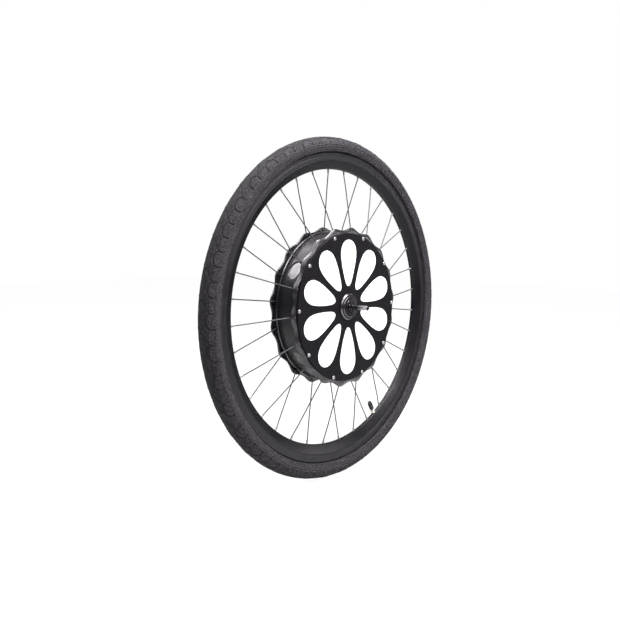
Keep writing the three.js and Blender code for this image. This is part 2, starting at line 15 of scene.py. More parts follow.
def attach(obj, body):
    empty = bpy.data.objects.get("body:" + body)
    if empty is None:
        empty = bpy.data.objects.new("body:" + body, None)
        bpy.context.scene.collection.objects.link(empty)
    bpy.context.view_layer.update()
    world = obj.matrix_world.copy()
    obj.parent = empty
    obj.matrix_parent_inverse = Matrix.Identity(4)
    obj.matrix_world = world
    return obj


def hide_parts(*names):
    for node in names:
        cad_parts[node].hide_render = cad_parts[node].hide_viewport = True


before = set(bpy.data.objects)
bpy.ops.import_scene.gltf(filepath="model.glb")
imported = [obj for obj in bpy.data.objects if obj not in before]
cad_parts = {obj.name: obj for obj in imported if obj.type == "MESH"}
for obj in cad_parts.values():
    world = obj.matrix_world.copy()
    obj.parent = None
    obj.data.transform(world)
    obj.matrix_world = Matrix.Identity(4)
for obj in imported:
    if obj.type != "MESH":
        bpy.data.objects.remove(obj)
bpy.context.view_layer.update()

PI = math.pi
DEG = PI / 180
NO_TRIS = np.zeros((0, 3), int)

# Bodies that the pieces ride on
WHEEL, AXLE = "wheel", "axle_assembly"

# Dimensions shared by several pieces, in mm and degrees
RIM_BED = 282.8                         # inner radius of the rim
SPOKE_CIRCLE = 154.0                    # radius of the spoke holes in the flanges
SPOKES = 18                             # spokes to a flange
SPOKE_STEP = 360 / SPOKES
FRONT_PHASE = 4.15                      # angle of the first front spoke
REAR_PHASE = FRONT_PHASE + SPOKE_STEP / 2
FRONT_FACE, REAR_FACE = -38.0, 24.0     # y of the outer faces of the two flanges
DRUM_RADIUS = 150.6
PETALS = 10
PETAL_STEP = 360 / PETALS
COVER_BORE = 17.8


# ---------------------------------------------------------------------------- mesh building
def outward(verts, quads, tris=NO_TRIS):
    """Turns the faces so that they look outwards, judged by the signed volume."""
    def volume(a, b, c):
        return np.einsum("ij,ij->i", a, np.cross(b, c)).sum()

    a, b, c, d = (verts[quads[:, i]] for i in range(4))
    total = volume(a, b, c) + volume(a, c, d)
    total += volume(*(verts[tris[:, i]] for i in range(3)))
    if total < 0:
        quads, tris = quads[:, ::-1], tris[:, ::-1]
    return verts, quads, tris


def joined(parts):
    """Several parts as one; the quads keep the order of the parts."""
    starts = np.cumsum([0] + [len(part[0]) for part in parts[:-1]])
    return (np.concatenate([part[0] for part in parts]),
            np.concatenate([part[1] + start for part, start in zip(parts, starts)]),
            np.concatenate([part[2] + start for part, start in zip(parts, starts)]))


def piece(name, parts, mats, replaces, sharp, body=WHEEL, quad_slots=0, marks=None):
    """Makes the object. mats are keys of MAT, sharp is the crease angle in degrees, quad_slots
    gives the material slot of each quad and marks holds float attributes, one value a vertex."""
    verts, quads, tris = joined(parts)
    mesh = bpy.data.meshes.new(name)
    mesh.vertices.add(len(verts))
    mesh.vertices.foreach_set("co", (verts * 0.001).astype(np.float32).ravel())
    corners = np.concatenate([quads.ravel(), tris.ravel()])
    mesh.loops.add(len(corners))
    mesh.loops.foreach_set("vertex_index", corners.astype(np.int32))
    mesh.polygons.add(len(quads) + len(tris))
    starts = np.concatenate([4 * np.arange(len(quads)), 4 * len(quads) + 3 * np.arange(len(tris))])
    mesh.polygons.foreach_set("loop_start", starts.astype(np.int32))
    slots = np.zeros(len(quads) + len(tris), np.int32)
    slots[:len(quads)] = quad_slots
    mesh.polygons.foreach_set("material_index", slots)
    for key, values in (marks or {}).items():
        layer = mesh.attributes.new(name=key, type="FLOAT", domain="POINT")
        layer.data.foreach_set("value", np.asarray(values, np.float32))
    mesh.update(calc_edges=True)
    mesh.validate()
    mesh.polygons.foreach_set("use_smooth", [True] * len(mesh.polygons))
    mesh.set_sharp_from_angle(angle=math.radians(sharp))
    for key in mats:
        mesh.materials.append(MAT[key])
    obj = bpy.data.objects.new(name, mesh)
    bpy.context.scene.collection.objects.link(obj)
    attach(obj, body)
    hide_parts(*replaces)


def fillet(points, steps=4, closed=True):
    """Rounds the corners of a line of (radius, y) or (radius, y, corner radius)."""
    points = [(p[0], p[1], p[2] if len(p) > 2 else 0.0) for p in points]
    count = len(points)
    out = []
    for i, (x, y, round_by) in enumerate(points):
        if round_by <= 0 or (not closed and i in (0, count - 1)):
            out.append((x, y))
            continue
        corner = np.array([x, y])
        to_last = np.array(points[i - 1][:2]) - corner
        to_next = np.array(points[(i + 1) % count][:2]) - corner
        last_length, next_length = np.linalg.norm(to_last), np.linalg.norm(to_next)
        to_last, to_next = to_last / last_length, to_next / next_length
        angle = math.acos(max(-1, min(1, float(to_last @ to_next))))
        if angle > PI - 1e-3:
            out.append((x, y))
            continue
        # the rounding never uses more than 0.48 of either side
        cut = min(round_by / math.tan(angle / 2), 0.48 * last_length, 0.48 * next_length)
        radius = cut * math.tan(angle / 2)
        middle = (to_last + to_next) / np.linalg.norm(to_last + to_next)
        centre = corner + middle * radius / math.sin(angle / 2)
        start = corner + to_last * cut - centre
        end = corner + to_next * cut - centre
        sweep = math.atan2(start[0] * end[1] - start[1] * end[0], float(start @ end))
        for k in range(steps + 1):
            cos, sin = math.cos(sweep * k / steps), math.sin(sweep * k / steps)
            out.append((centre[0] + start[0] * cos - start[1] * sin,
                        centre[1] + start[0] * sin + start[1] * cos))
    return out


def ring_quads(segments, count, wrap=True):
    """Quads between profiles of count points that stand all round the axis."""
    i, j = np.meshgrid(np.arange(segments), np.arange(count if wrap else count - 1), indexing="ij")
    here, beside = i * count, ((i + 1) % segments) * count
    after = (j + 1) % count
    return np.stack([here + j, beside + j, beside + after, here + after], -1).reshape(-1, 4)


def stack_quads(rows, sides):
    """Quads between closed loops of vertices laid one after another."""
    i, j = np.meshgrid(np.arange(rows - 1), np.arange(sides), indexing="ij")
    here, above = i * sides, (i + 1) * sides
    after = (j + 1) % sides
    return np.stack([here + j, here + after, above + after, above + j], -1).reshape(-1, 4)


def revolved(angle, radius, y):
    return np.stack([radius * np.cos(angle), y, radius * np.sin(angle)], -1).reshape(-1, 3)


def lathe(profile, segments, radius_fun=None, y_fun=None):
    """Solid of revolution about Y, from a closed profile or one that starts and ends on the axis.
    radius_fun and y_fun take (angle, radius, y) and reshape the surface."""
    profile = np.asarray(profile, float)
    capped = abs(profile[0, 0]) < 1e-9
    line = profile[1:-1] if capped else profile
    count = len(line)
    angle = np.repeat((2 * PI * np.arange(segments) / segments)[:, None], count, 1)
    radius, y = (np.repeat(line[None, :, i], segments, 0) for i in (0, 1))
    if radius_fun:
        radius = radius_fun(angle, radius, y)
    if y_fun:
        y = y_fun(angle, radius, y)
    verts = revolved(angle, radius, y)
    quads = ring_quads(segments, count, wrap=not capped)
    if not capped:
        return outward(verts, quads)
    first = segments * count
    verts = np.concatenate([verts, [[0, profile[0, 1], 0], [0, profile[-1, 1], 0]]])
    here = np.arange(segments) * count
    beside = np.roll(here, -1)
    tris = np.concatenate([
        np.stack([np.full(segments, first), beside, here], -1),
        np.stack([np.full(segments, first + 1), here + count - 1, beside + count - 1], -1),
    ])
    return outward(verts, quads, tris)


def inside(points, loop):
    """Which points lie inside the loop, by counting crossings."""
    x, y = points[:, 0][:, None], points[:, 1][:, None]
    x1, y1 = loop[:, 0][None], loop[:, 1][None]
    x2, y2 = np.roll(loop[:, 0], -1)[None], np.roll(loop[:, 1], -1)[None]
    rise = np.where(y2 == y1, 1e-12, y2 - y1)
    crossed = ((y1 > y) != (y2 > y)) & (x < (x2 - x1) * (y - y1) / rise + x1)
    return crossed.sum(1) % 2 == 1


def ccw(loop):
    """The loop, turned counter-clockwise."""
    x, y = loop[:, 0], loop[:, 1]
    area = (x * np.roll(y, -1) - np.roll(x, -1) * y).sum()
    return loop if area > 0 else loop[::-1].copy()


def inset(loop, distance):
    """Moves a counter-clockwise loop inwards."""
    def normals(edge):
        return np.stack([-edge[:, 1], edge[:, 0]], -1) / np.linalg.norm(edge, axis=1)[:, None]

    before = normals(loop - np.roll(loop, 1, 0))
    mitre = before + normals(np.roll(loop, -1, 0) - loop)
    mitre /= np.linalg.norm(mitre, axis=1)[:, None]
    return loop + mitre * (distance / np.maximum(0.5, (mitre * before).sum(1)))[:, None]


def cap_faces(loops, ids):
    """Triangles that fill the first loop around the others; ids holds the vertex numbers."""
    flat = np.concatenate(loops)
    edges, start = [], 0
    for loop in loops:
        count = len(loop)
        edges += [(start + i, start + (i + 1) % count) for i in range(count)]
        start += count
    _, _, faces, origins, _, _ = delaunay_2d_cdt([Vector(p) for p in flat], edges, [], 0, 1e-6)
    source = np.array([origin[0] if len(origin) else -1 for origin in origins])
    tris = source[np.array([list(face) for face in faces])]
    tris = tris[(tris >= 0).all(1)]
    middle = flat[tris].mean(1)
    keep = inside(middle, loops[0])
    for loop in loops[1:]:
        keep &= ~inside(middle, loop)
    tris = tris[keep]
    a, b, c = (flat[tris[:, i]] for i in range(3))
    area = (b[:, 0] - a[:, 0]) * (c[:, 1] - a[:, 1]) - (b[:, 1] - a[:, 1]) * (c[:, 0] - a[:, 0])
    tris[area < 0] = tris[area < 0][:, ::-1]
    return np.concatenate(ids)[tris]


def plate(outline, holes, y0, y1, bevel, steps, hole_bevel=None, front=None):
    """Flat plate from y0 to y1 with rounded edges; outline and holes are loops of (x, z).
    front = (radial, axial, steps, flatness) rounds the outline's edge on the y0 side by itself."""
    hole_bevel = bevel if hole_bevel is None else hole_bevel
    edges = [(outline, 1.0, bevel, front)] + [(hole, -1.0, hole_bevel, None) for hole in holes]
    verts, quads, low_ids, high_ids, low_loops, high_loops = [], [], [], [], [], []
    start = 0
    for loop, sign, size, front_edge in edges:
        loop = ccw(loop)
        count = len(loop)
        radial, axial, front_steps, flatness = front_edge or (size, size, steps, 1.0)
        rows = []
        for k in range(front_steps + 1):
            angle = PI / 2 * k / front_steps
            # abs keeps a rounding error at 90 degrees from turning the power complex
            rows.append((radial * (1 - math.sin(angle) ** flatness),
                         y0 + axial * (1 - abs(math.cos(angle)) ** flatness)))
        for k in range(steps, -1, -1):
            angle = PI / 2 * k / steps
            rows.append((size * (1 - math.sin(angle)), y1 - size * (1 - math.cos(angle))))
        rings = []
        for distance, y in rows:
            ring = inset(loop, sign * distance) if distance > 1e-9 else loop
            rings.append(ring)
            verts.append(np.stack([ring[:, 0], np.full(count, y), ring[:, 1]], -1))
        wall = start + stack_quads(len(rows), count)
        quads.append(wall if sign > 0 else wall[:, ::-1])
        end = start + len(rows) * count
        low_ids.append(np.arange(start, start + count))
        low_loops.append(rings[0])
        high_ids.append(np.arange(end - count, end))
        high_loops.append(rings[-1])
        start = end
    tris = [cap_faces(low_loops, low_ids), cap_faces(high_loops, high_ids)[:, ::-1]]
    return outward(np.concatenate(verts), np.concatenate(quads), np.concatenate(tris))


def bar(path, radii, sides, squared=()):
    """Bar along a path in the XY plane; the stations listed in squared get four flats."""
    path = np.asarray(path, float)
    count = len(path)
    along = np.gradient(path, axis=0)
    along /= np.linalg.norm(along, axis=1)[:, None]
    up = np.array([0, 0, 1.0])
    angle = 2 * PI * np.arange(sides) / sides
    cos, sin = np.cos(angle), np.sin(angle)
    rings = []
    for i in range(count):
        radius = radii[i]
        if i in squared:
            radius = radius * np.minimum(1.0, 0.86 / np.maximum(np.abs(cos), np.abs(sin)))
        across = np.cross(along[i], up)
        rings.append(path[i] + np.outer(radius * cos, up) + np.outer(radius * sin, across))
    verts = np.concatenate(rings + [path[:1], path[-1:]])
    here = np.arange(sides)
    after = np.roll(here, -1)
    first, last_ring = count * sides, (count - 1) * sides
    tris = np.concatenate([
        np.stack([np.full(sides, first), after, here], -1),
        np.stack([np.full(sides, first + 1), last_ring + here, last_ring + after], -1),
    ])
    return outward(verts, stack_quads(count, sides), tris)


def turn(part, degrees):
    """Turns a part about the wheel axis, from +X towards +Z."""
    verts, quads, tris = part
    cos, sin = math.cos(degrees * DEG), math.sin(degrees * DEG)
    turned = verts.copy()
    turned[:, 0] = verts[:, 0] * cos - verts[:, 2] * sin
    turned[:, 2] = verts[:, 0] * sin + verts[:, 2] * cos
    return turned, quads, tris


def place(part, radius, degrees):
    """Moves a part off the wheel axis without turning it."""
    verts, quads, tris = part
    angle = degrees * DEG
    return verts + np.array([radius * math.cos(angle), 0, radius * math.sin(angle)]), quads, tris


def mirror_y(part):
    verts, quads, tris = part
    return outward(verts * np.array([1, -1, 1]), quads, tris)


def spline(points, samples):
    """Closed centripetal Catmull-Rom curve through the points, with samples to each span."""
    points = np.asarray(points, float)
    count = len(points)
    out = []
    for i in range(count):
        p0, p1, p2, p3 = (points[(i + k) % count] for k in (-1, 0, 1, 2))
        t0 = 0
        t1 = t0 + max(1e-6, np.linalg.norm(p1 - p0)) ** 0.5
        t2 = t1 + max(1e-6, np.linalg.norm(p2 - p1)) ** 0.5
        t3 = t2 + max(1e-6, np.linalg.norm(p3 - p2)) ** 0.5
        for k in range(samples):
            t = t1 + (t2 - t1) * k / samples
            a1 = (t1 - t) / (t1 - t0) * p0 + (t - t0) / (t1 - t0) * p1
            a2 = (t2 - t) / (t2 - t1) * p1 + (t - t1) / (t2 - t1) * p2
            a3 = (t3 - t) / (t3 - t2) * p2 + (t - t2) / (t3 - t2) * p3
            b1 = (t2 - t) / (t2 - t0) * a1 + (t - t0) / (t2 - t0) * a2
            b2 = (t3 - t) / (t3 - t1) * a2 + (t - t1) / (t3 - t1) * a3
            out.append((t2 - t) / (t2 - t1) * b1 + (t - t1) / (t2 - t1) * b2)
    return np.array(out)


def circle(radius, count, x=0, z=0):
    angle = 2 * PI * np.arange(count) / count
    return np.stack([x + radius * np.cos(angle), z + radius * np.sin(angle)], -1)


def smooth(x, low, high):
    """Smooth step from 0 at low to 1 at high."""
    t = np.clip((x - low) / (high - low), 0, 1)
    return t * t * (3 - 2 * t)


def bell(x, centre, width):
    return np.exp(-((x - centre) / width) ** 2)


def hex_radius(angle, half_width):
    """Radius of a hexagon, given half its width over the flats."""
    return half_width / np.cos((angle + PI / 6) % (PI / 3) - PI / 6)


# -------------------------------------------------------------------------------- materials
class Graph:
    """Short calls that add nodes to the node tree of a material or world."""
    def __init__(self, owner, cleared=True):
        owner.use_nodes = True
        self.tree = owner.node_tree
        if cleared:
            self.tree.nodes.clear()

    def feed(self, node, key, value):
        """Links a socket to an input, or sets the input's value."""
        if isinstance(value, bpy.types.NodeSocket):
            self.tree.links.new(value, node.inputs[key])
        else:
            node.inputs[key].default_value = value

    def node(self, kind, inputs=None, **settings):
        node = self.tree.nodes.new("ShaderNode" + kind)
        for key, value in settings.items():
            setattr(node, key, value)
        for key, value in (inputs or {}).items():
            self.feed(node, key, value)
        return node

    def remap(self, value, from_min, from_max, to_min, to_max, **settings):
        return self.node("MapRange", {
            "Value": value, "From Min": from_min, "From Max": from_max,
            "To Min": to_min, "To Max": to_max}, **settings).outputs["Result"]

    def mix(self, factor, first, second, blend_type="MIX"):
        """Mix of two colours, each a socket or an RGB tuple."""
        first, second = ((*c, 1.0) if isinstance(c, tuple) else c for c in (first, second))
        return self.node("Mix", {0: factor, 6: first, 7: second},
                         data_type="RGBA", blend_type=blend_type).outputs[2]

    def mix_value(self, factor, first, second):
        return self.node("Mix", {0: factor, 2: first, 3: second}).outputs[0]

    def multiply(self, first, second):
        return self.node("Math", {0: first, 1: second}, operation="MULTIPLY").outputs[0]

    def principled(self):
        return next(node for node in self.tree.nodes if node.type == "BSDF_PRINCIPLED")


def scaled(colour, factor):
    return tuple(min(1.0, c * factor) for c in colour)


def material(name, base, rough, metal=0.0, spec=0.5, coat=0.0, coat_rough=0.1,
             tint=0.18, tint_scale=18.0, grain=700.0, grain_rough=0.12,
             bump=0.06, bump_scale=900.0, turned=0.0, turned_pitch=0.35, scratches=0.0,
             dust=0.0, dust_colour=None, edge=0.0, edge_colour=None,
             mottle=0.0, mottle_scale=330.0, painted_glow=0.0):
    """Worn surface. tint is the depth of the broad shading and grain the scale of the fine one,
    grain_rough the swing in roughness. mottle adds specks, dust pale patches and edge rubbed
    corners. bump is the fine relief, turned lathe rings of turned_pitch mm, scratches streaks."""
    mat = bpy.data.materials.new(name)
    graph = Graph(mat)
    out = graph.node("OutputMaterial")
    shader = graph.node("BsdfPrincipled", {
        "Metallic": metal, "Specular IOR Level": spec,
        "Coat Weight": coat, "Coat Roughness": coat_rough})
    graph.feed(out, 0, shader.outputs[0])
    position = graph.node("TexCoord").outputs["Object"]

    def noise(scale, detail=4.0, roughness=0.6, vector=position):
        return graph.node("TexNoise", {
            "Scale": scale, "Detail": detail, "Roughness": roughness,
            "Vector": vector}).outputs["Fac"]

    def relief(height, strength, distance, below=None):
        inputs = {"Strength": strength, "Distance": distance, "Height": height}
        if below:
            inputs["Normal"] = below
        return graph.node("Bump", inputs).outputs["Normal"]

    light = scaled(base, 1 + tint)
    broad = graph.remap(noise(tint_scale, 5.0), 0.3, 0.7, 0.0, 1.0)
    colour = graph.mix(broad, scaled(base, 1 - tint), light)
    fine = graph.remap(noise(grain, 3.0, 0.7), 0.35, 0.75, 0.0, 0.5)
    colour = graph.mix(fine, colour, scaled(light, 1 + tint))
    roughness = graph.remap(noise(tint_scale * 2.3), 0.3, 0.7,
                            max(0.02, rough - grain_rough), min(1.0, rough + grain_rough))
    if mottle > 0:
        speck = noise(mottle_scale, 2.0)
        dark_specks = graph.remap(speck, 0.36, 0.64, 0.0, 1.0)
        colour = graph.mix(dark_specks, scaled(base, 1 - mottle), colour)
        light_specks = graph.remap(speck, 0.5, 0.75, 0.0, 0.7)
        colour = graph.mix(light_specks, colour, scaled(base, 1 + 1.6 * mottle))
    if dust > 0:
        patches = graph.remap(noise(9.0, 8.0, 0.75), 0.45, 0.8, 0.0, dust)
        colour = graph.mix(patches, colour, dust_colour)
    if edge > 0:
        pointed = graph.node("NewGeometry").outputs["Pointiness"]
        colour = graph.mix(graph.remap(pointed, 0.52, 0.62, 0.0, edge), colour, edge_colour)
    # painted light: a white emission makes the surface glow by itself
    if painted_glow > 0:
        graph.feed(shader, "Emission Color", (1, 1, 1, 1))
        graph.feed(shader, "Emission Strength", painted_glow)
    graph.feed(shader, "Base Color", colour)
    graph.feed(shader, "Roughness", roughness)

    normal = relief(noise(bump_scale, 4.0, 0.65), bump, 0.0006)
    if turned > 0:
        rings = graph.node("TexWave", {
            "Scale": 2 * PI / (20 * turned_pitch * 0.001), "Distortion": 0.6, "Detail": 2.0,
            "Vector": position}, wave_type="RINGS", rings_direction="Y").outputs["Fac"]
        normal = relief(rings, turned, 0.0002, normal)
    if scratches > 0:
        stretched = graph.node("Mapping", {"Scale": (1.0, 22.0, 1.0), "Vector": position})
        streaks = noise(60.0, 2.0, 0.5, stretched.outputs["Vector"])
        normal = relief(streaks, scratches, 0.0002, normal)
    graph.feed(shader, "Normal", normal)
    return mat


def paint_tread_shade(mat, crown, groove_shade_colour):
    """Darkens the tread against the side wall, partly as darker rubber and partly as painted shade
    of its fine grooves, and paints shade into the groove floors and knurl troughs, where the
    mesh attributes for the tread and for the groove shade say so."""
    graph = Graph(mat, cleared=False)
    shader = graph.principled()
    colour = shader.inputs["Base Color"].links[0].from_socket
    tread, groove_shade = (graph.node("Attribute", attribute_name=key).outputs["Fac"]
                   for key in ("tread", "groove_shade"))
    colour = graph.mix(tread, colour, (crown, crown, crown), "MULTIPLY")
    # painted shade: the groove floors and knurl troughs are mixed towards the near black shade
    # colour
    graph.feed(shader, "Base Color", graph.mix(groove_shade, colour, groove_shade_colour))


def bright_chamfers(mat, colour, rough):
    """Turns the surfaces that slope between facing along Y and facing sideways to bright metal."""
    graph = Graph(mat, cleared=False)
    shader = graph.principled()
    old_colour = shader.inputs["Base Color"].links[0].from_socket
    old_rough = shader.inputs["Roughness"].links[0].from_socket
    normal = graph.node("NewGeometry").outputs["Normal"]
    along = graph.node("SeparateXYZ", {0: normal}).outputs["Y"]
    along = graph.node("Math", {0: along}, operation="ABSOLUTE").outputs[0]
    mask = graph.multiply(graph.remap(along, 0.25, 0.45, 0.0, 1.0),
                          graph.remap(along, 0.97, 0.88, 0.0, 1.0))
    graph.feed(shader, "Base Color", graph.mix(mask, old_colour, colour))
    graph.feed(shader, "Metallic", mask)
    graph.feed(shader, "Roughness", graph.mix_value(mask, old_rough, rough))


MAT = {
    # tyre and rim
    "tyre": material(
        "rubber_charcoal", base=(0.0325, 0.0295, 0.0350), rough=0.8, spec=0.33, tint=0.25,
        tint_scale=40, grain=1400, grain_rough=0.1, bump=1.0, bump_scale=620, dust=0.10,
        dust_colour=(0.115, 0.107, 0.118), mottle=0.85, mottle_scale=360),
    "tube": material("rubber_tube", base=(0.012, 0.012, 0.012), rough=0.6, tint=0.2, bump=0.2),
    "rim_tape": material(
        "tape_red", base=(0.33, 0.045, 0.03), rough=0.6, tint=0.15, grain=900, bump=0.15,
        scratches=0.1),
    "rim": material(
        "rim_black", base=(0.0038, 0.0031, 0.0048), rough=0.33, spec=0.26, coat=0.06,
        coat_rough=0.16, tint=0.2, tint_scale=14, grain=1500, grain_rough=0.07, bump=0.12,
        dust=0.04, dust_colour=(0.03, 0.028, 0.031), mottle=0.25),
    "rim_nose": material(
        "rim_nose_gloss", base=(0.0045, 0.0040, 0.0054), rough=0.28, coat=0.6, coat_rough=0.18,
        tint=0.2, tint_scale=14, grain=1500, grain_rough=0.06, bump=0.10, mottle=0.25),
    "track": material(
        "rim_brake_track", base=(0.0070, 0.0064, 0.0076), rough=0.40, metal=0.10, spec=0.4,
        tint=0.2, tint_scale=24, grain=1500, turned=0.30, turned_pitch=0.9, mottle=0.25),
    # spokes and valve
    "steel": material(
        "spoke_stainless", base=(0.066, 0.064, 0.070), rough=0.42, metal=0.25, spec=0.3,
        tint=0.10, tint_scale=60, grain=1800, grain_rough=0.08, bump=0.04, scratches=0.06),
    "nipple": material(
        "nipple_nickel", base=(0.22, 0.218, 0.222), rough=0.36, metal=0.8, tint=0.10,
        tint_scale=90, grain=1500, grain_rough=0.1, bump=0.05),
    "brass": material(
        "valve_nickel", base=(0.62, 0.60, 0.54), rough=0.3, metal=0.95, tint=0.10, bump=0.05),
    "black_plastic": material(
        "cap_black", base=(0.012, 0.012, 0.012), rough=0.42, tint=0.2, grain=1200, bump=0.12),
    # hub
    "hub_black": material(
        "hub_gloss_black", base=(0.0052, 0.0044, 0.0062), rough=0.30, coat=0.6, coat_rough=0.2,
        tint=0.25, tint_scale=16, grain=1100, grain_rough=0.10, bump=0.30, bump_scale=480,
        dust=0.05, dust_colour=(0.04, 0.037, 0.041), edge=0.15, edge_colour=(0.10, 0.10, 0.105),
        mottle=0.4),
    "drum": material(
        "drum_satin_black", base=(0.0044, 0.0036, 0.0054), rough=0.40, spec=0.32, coat=0.06,
        coat_rough=0.3, tint=0.3, tint_scale=20, grain=1100, grain_rough=0.10, bump=0.40,
        bump_scale=480, dust=0.05, dust_colour=(0.03, 0.028, 0.031), mottle=0.5),
    "pad": material(
        "hub_pad_gloss", base=(0.010, 0.0095, 0.0105), rough=0.30, coat=0.45, coat_rough=0.2,
        tint=0.15, grain=1500, bump=0.10, bump_scale=700, mottle=0.2),
    "cover_black": material(
        "cover_satin_black", base=(0.0026, 0.0018, 0.0036), rough=0.50, spec=0.13,
        coat_rough=0.35, tint=0.2, tint_scale=22, grain=1600, grain_rough=0.07, bump=0.70,
        bump_scale=400, edge=0.12, edge_colour=(0.04, 0.04, 0.043), mottle=0.7),
    # the petals glow by painted light: a white emission keeps them white whatever the lamps
    "petal_white": material(
        "petal_white", base=(0.88, 0.88, 0.885), rough=0.40, coat=0.15, coat_rough=0.25,
        tint=0.02, tint_scale=20, grain=1200, bump=0.02, painted_glow=0.30),
    "boss_black": material(
        "boss_black", base=(0.0042, 0.0036, 0.0047), rough=0.30, spec=0.20, tint=0.15,
        grain=1500, grain_rough=0.05, bump=0.03, turned=0.03, turned_pitch=0.5),
    # motor, bearings and electrics
    "seal": material("seal_rubber", base=(0.01, 0.01, 0.01), rough=0.6, tint=0.2, bump=0.15),
    "iron": material(
        "lamination_iron", base=(0.19, 0.19, 0.2), rough=0.45, metal=0.85, tint=0.2, grain=900,
        bump=0.1, scratches=0.5),
    "magnet": material(
        "magnet_nickel", base=(0.5, 0.5, 0.52), rough=0.28, metal=0.9, tint=0.08, bump=0.03),
    "bearing_steel": material(
        "bearing_steel", base=(0.62, 0.62, 0.64), rough=0.16, metal=1.0, tint=0.06, bump=0.02,
        turned=0.06),
    "copper": material(
        "winding_copper", base=(0.62, 0.24, 0.08), rough=0.34, metal=0.9, tint=0.2, grain=1300,
        bump=0.12, scratches=0.6),
    "aluminium": material(
        "cast_aluminium", base=(0.55, 0.56, 0.58), rough=0.42, metal=0.85, tint=0.12, grain=600,
        bump=0.25, bump_scale=600),
    "battery": material(
        "battery_wrap_blue", base=(0.02, 0.09, 0.36), rough=0.38, coat=0.4, tint=0.12,
        scratches=0.15),
    "board": material(
        "board_green", base=(0.015, 0.12, 0.04), rough=0.4, coat=0.4, tint=0.25, tint_scale=300,
        grain=2500, bump=0.2),
    "cable_black": material(
        "cable_black", base=(0.012, 0.012, 0.012), rough=0.5, tint=0.2, bump=0.12),
    "cable_red": material(
        "cable_red", base=(0.35, 0.02, 0.02), rough=0.5, tint=0.2, bump=0.12),
    # axle and screws
    "axle_steel": material(
        "axle_steel", base=(0.34, 0.335, 0.345), rough=0.14, metal=1.0, tint=0.08,
        tint_scale=60, grain=1500, grain_rough=0.04, bump=0.02),
    "screw": material(
        "screw_zinc", base=(0.46, 0.46, 0.465), rough=0.40, metal=0.8, tint=0.06,
        tint_scale=120, bump=0.04),
    "hole_dark": material(
        "plug_black", base=(0.003, 0.003, 0.003), rough=0.6, spec=0.2, tint=0.2, bump=0.1),
}
# painted shade: the tread is darkened to 0.55, partly as darker rubber and partly as painted shade
# of its fine grooves; the groove floors and knurl troughs get painted shade
paint_tread_shade(MAT["tyre"], crown=0.55, groove_shade_colour=(0.013, 0.0125, 0.014))
bright_chamfers(MAT["boss_black"], colour=(0.15, 0.147, 0.157), rough=0.22)

# ------------------------------------------------------------------------------------- tyre
SECTION_CENTRE, SECTION_RADIUS = 330.0, 20.0    # the round section of the tyre
PITCHES = 39                                    # repeats of the tread round the tyre
PITCH = 56.4                                    # length of one repeat
# Mesh stations across the section, as arc lengths from the crown
ACROSS = np.concatenate([np.linspace(0, 8.4, 8), [
    9.2, 10, 10.8, 11.7, 12.7, 13.7, 14.4, 15.1, 15.8, 17, 18.4, 19.8, 21.2, 22.6, 24, 25.2,
    26.2, 27.0, 27.6, 28.1, 28.6, 29.2, 30.2, 31.6, 32.2, 32.7, 33.3, 35.5, 37.6, 38.1, 38.7,
    40.6, 41.3, 42.8]])
# Mesh stations along one repeat
ALONG = np.array([
    0, 1.8, 3.6, 4.8, 5.6, 6.4, 7.2, 8.2, 9.5, 11, 12.5, 14, 15.6, 17.2, 18.8, 20.4, 22, 23.6,
    25.2, 26.8, 28.4, 30, 31.6, 33, 34, 34.8, 35.6, 36.5, 38, 39.6, 41.2, 42.8, 44.4, 46, 47.6,
    49.2, 50.8, 52.6, 54.5])
# Grooves, the same on both sides: width, depth, points of (across, along)
GROOVES = (
    (1.5, 1.7, [(27.2, 7.4), (23.5, 6.4), (18.6, 6.4), (14.8, 9.2), (11.4, 14.4), (9.9, 20.2),
                (10.8, 26.2), (13.4, 31.4), (15.6, 34.6)]),
    (1.35, 1.5, [(27.2, 35.6), (23.5, 34.6), (18.4, 34.6), (15.2, 37.2), (11.6, 42.4),
                 (7.6, 48.6), (3.6, 54.6), (0, 59.4)]),
    (1.1, 1.0, [(15.2, 37.2), (14.7, 45), (14.8, 54), (15.4, 60.4), (16.6, 62.6)]),
    (1.1, 0.8, [(6.0, 21.0), (3.2, 26.0), (0, 31.0)]),
)
GROOVE_LIP = [(12.4, 9.2), (8.6, 14.2), (7.0, 20.4), (8.2, 27.0), (10.6, 31.6)]
# Bead on the +Y side, from the side wall to the inside: (radius, y)
BEAD = [(318.6, 12.4), (318.2, 10.9), (317.4, 10.6), (311.8, 10.6), (311.7, 7.4), (320.6, 8.1)]
INSIDE_RADIUS = 17.2                            # the inside wall of the section


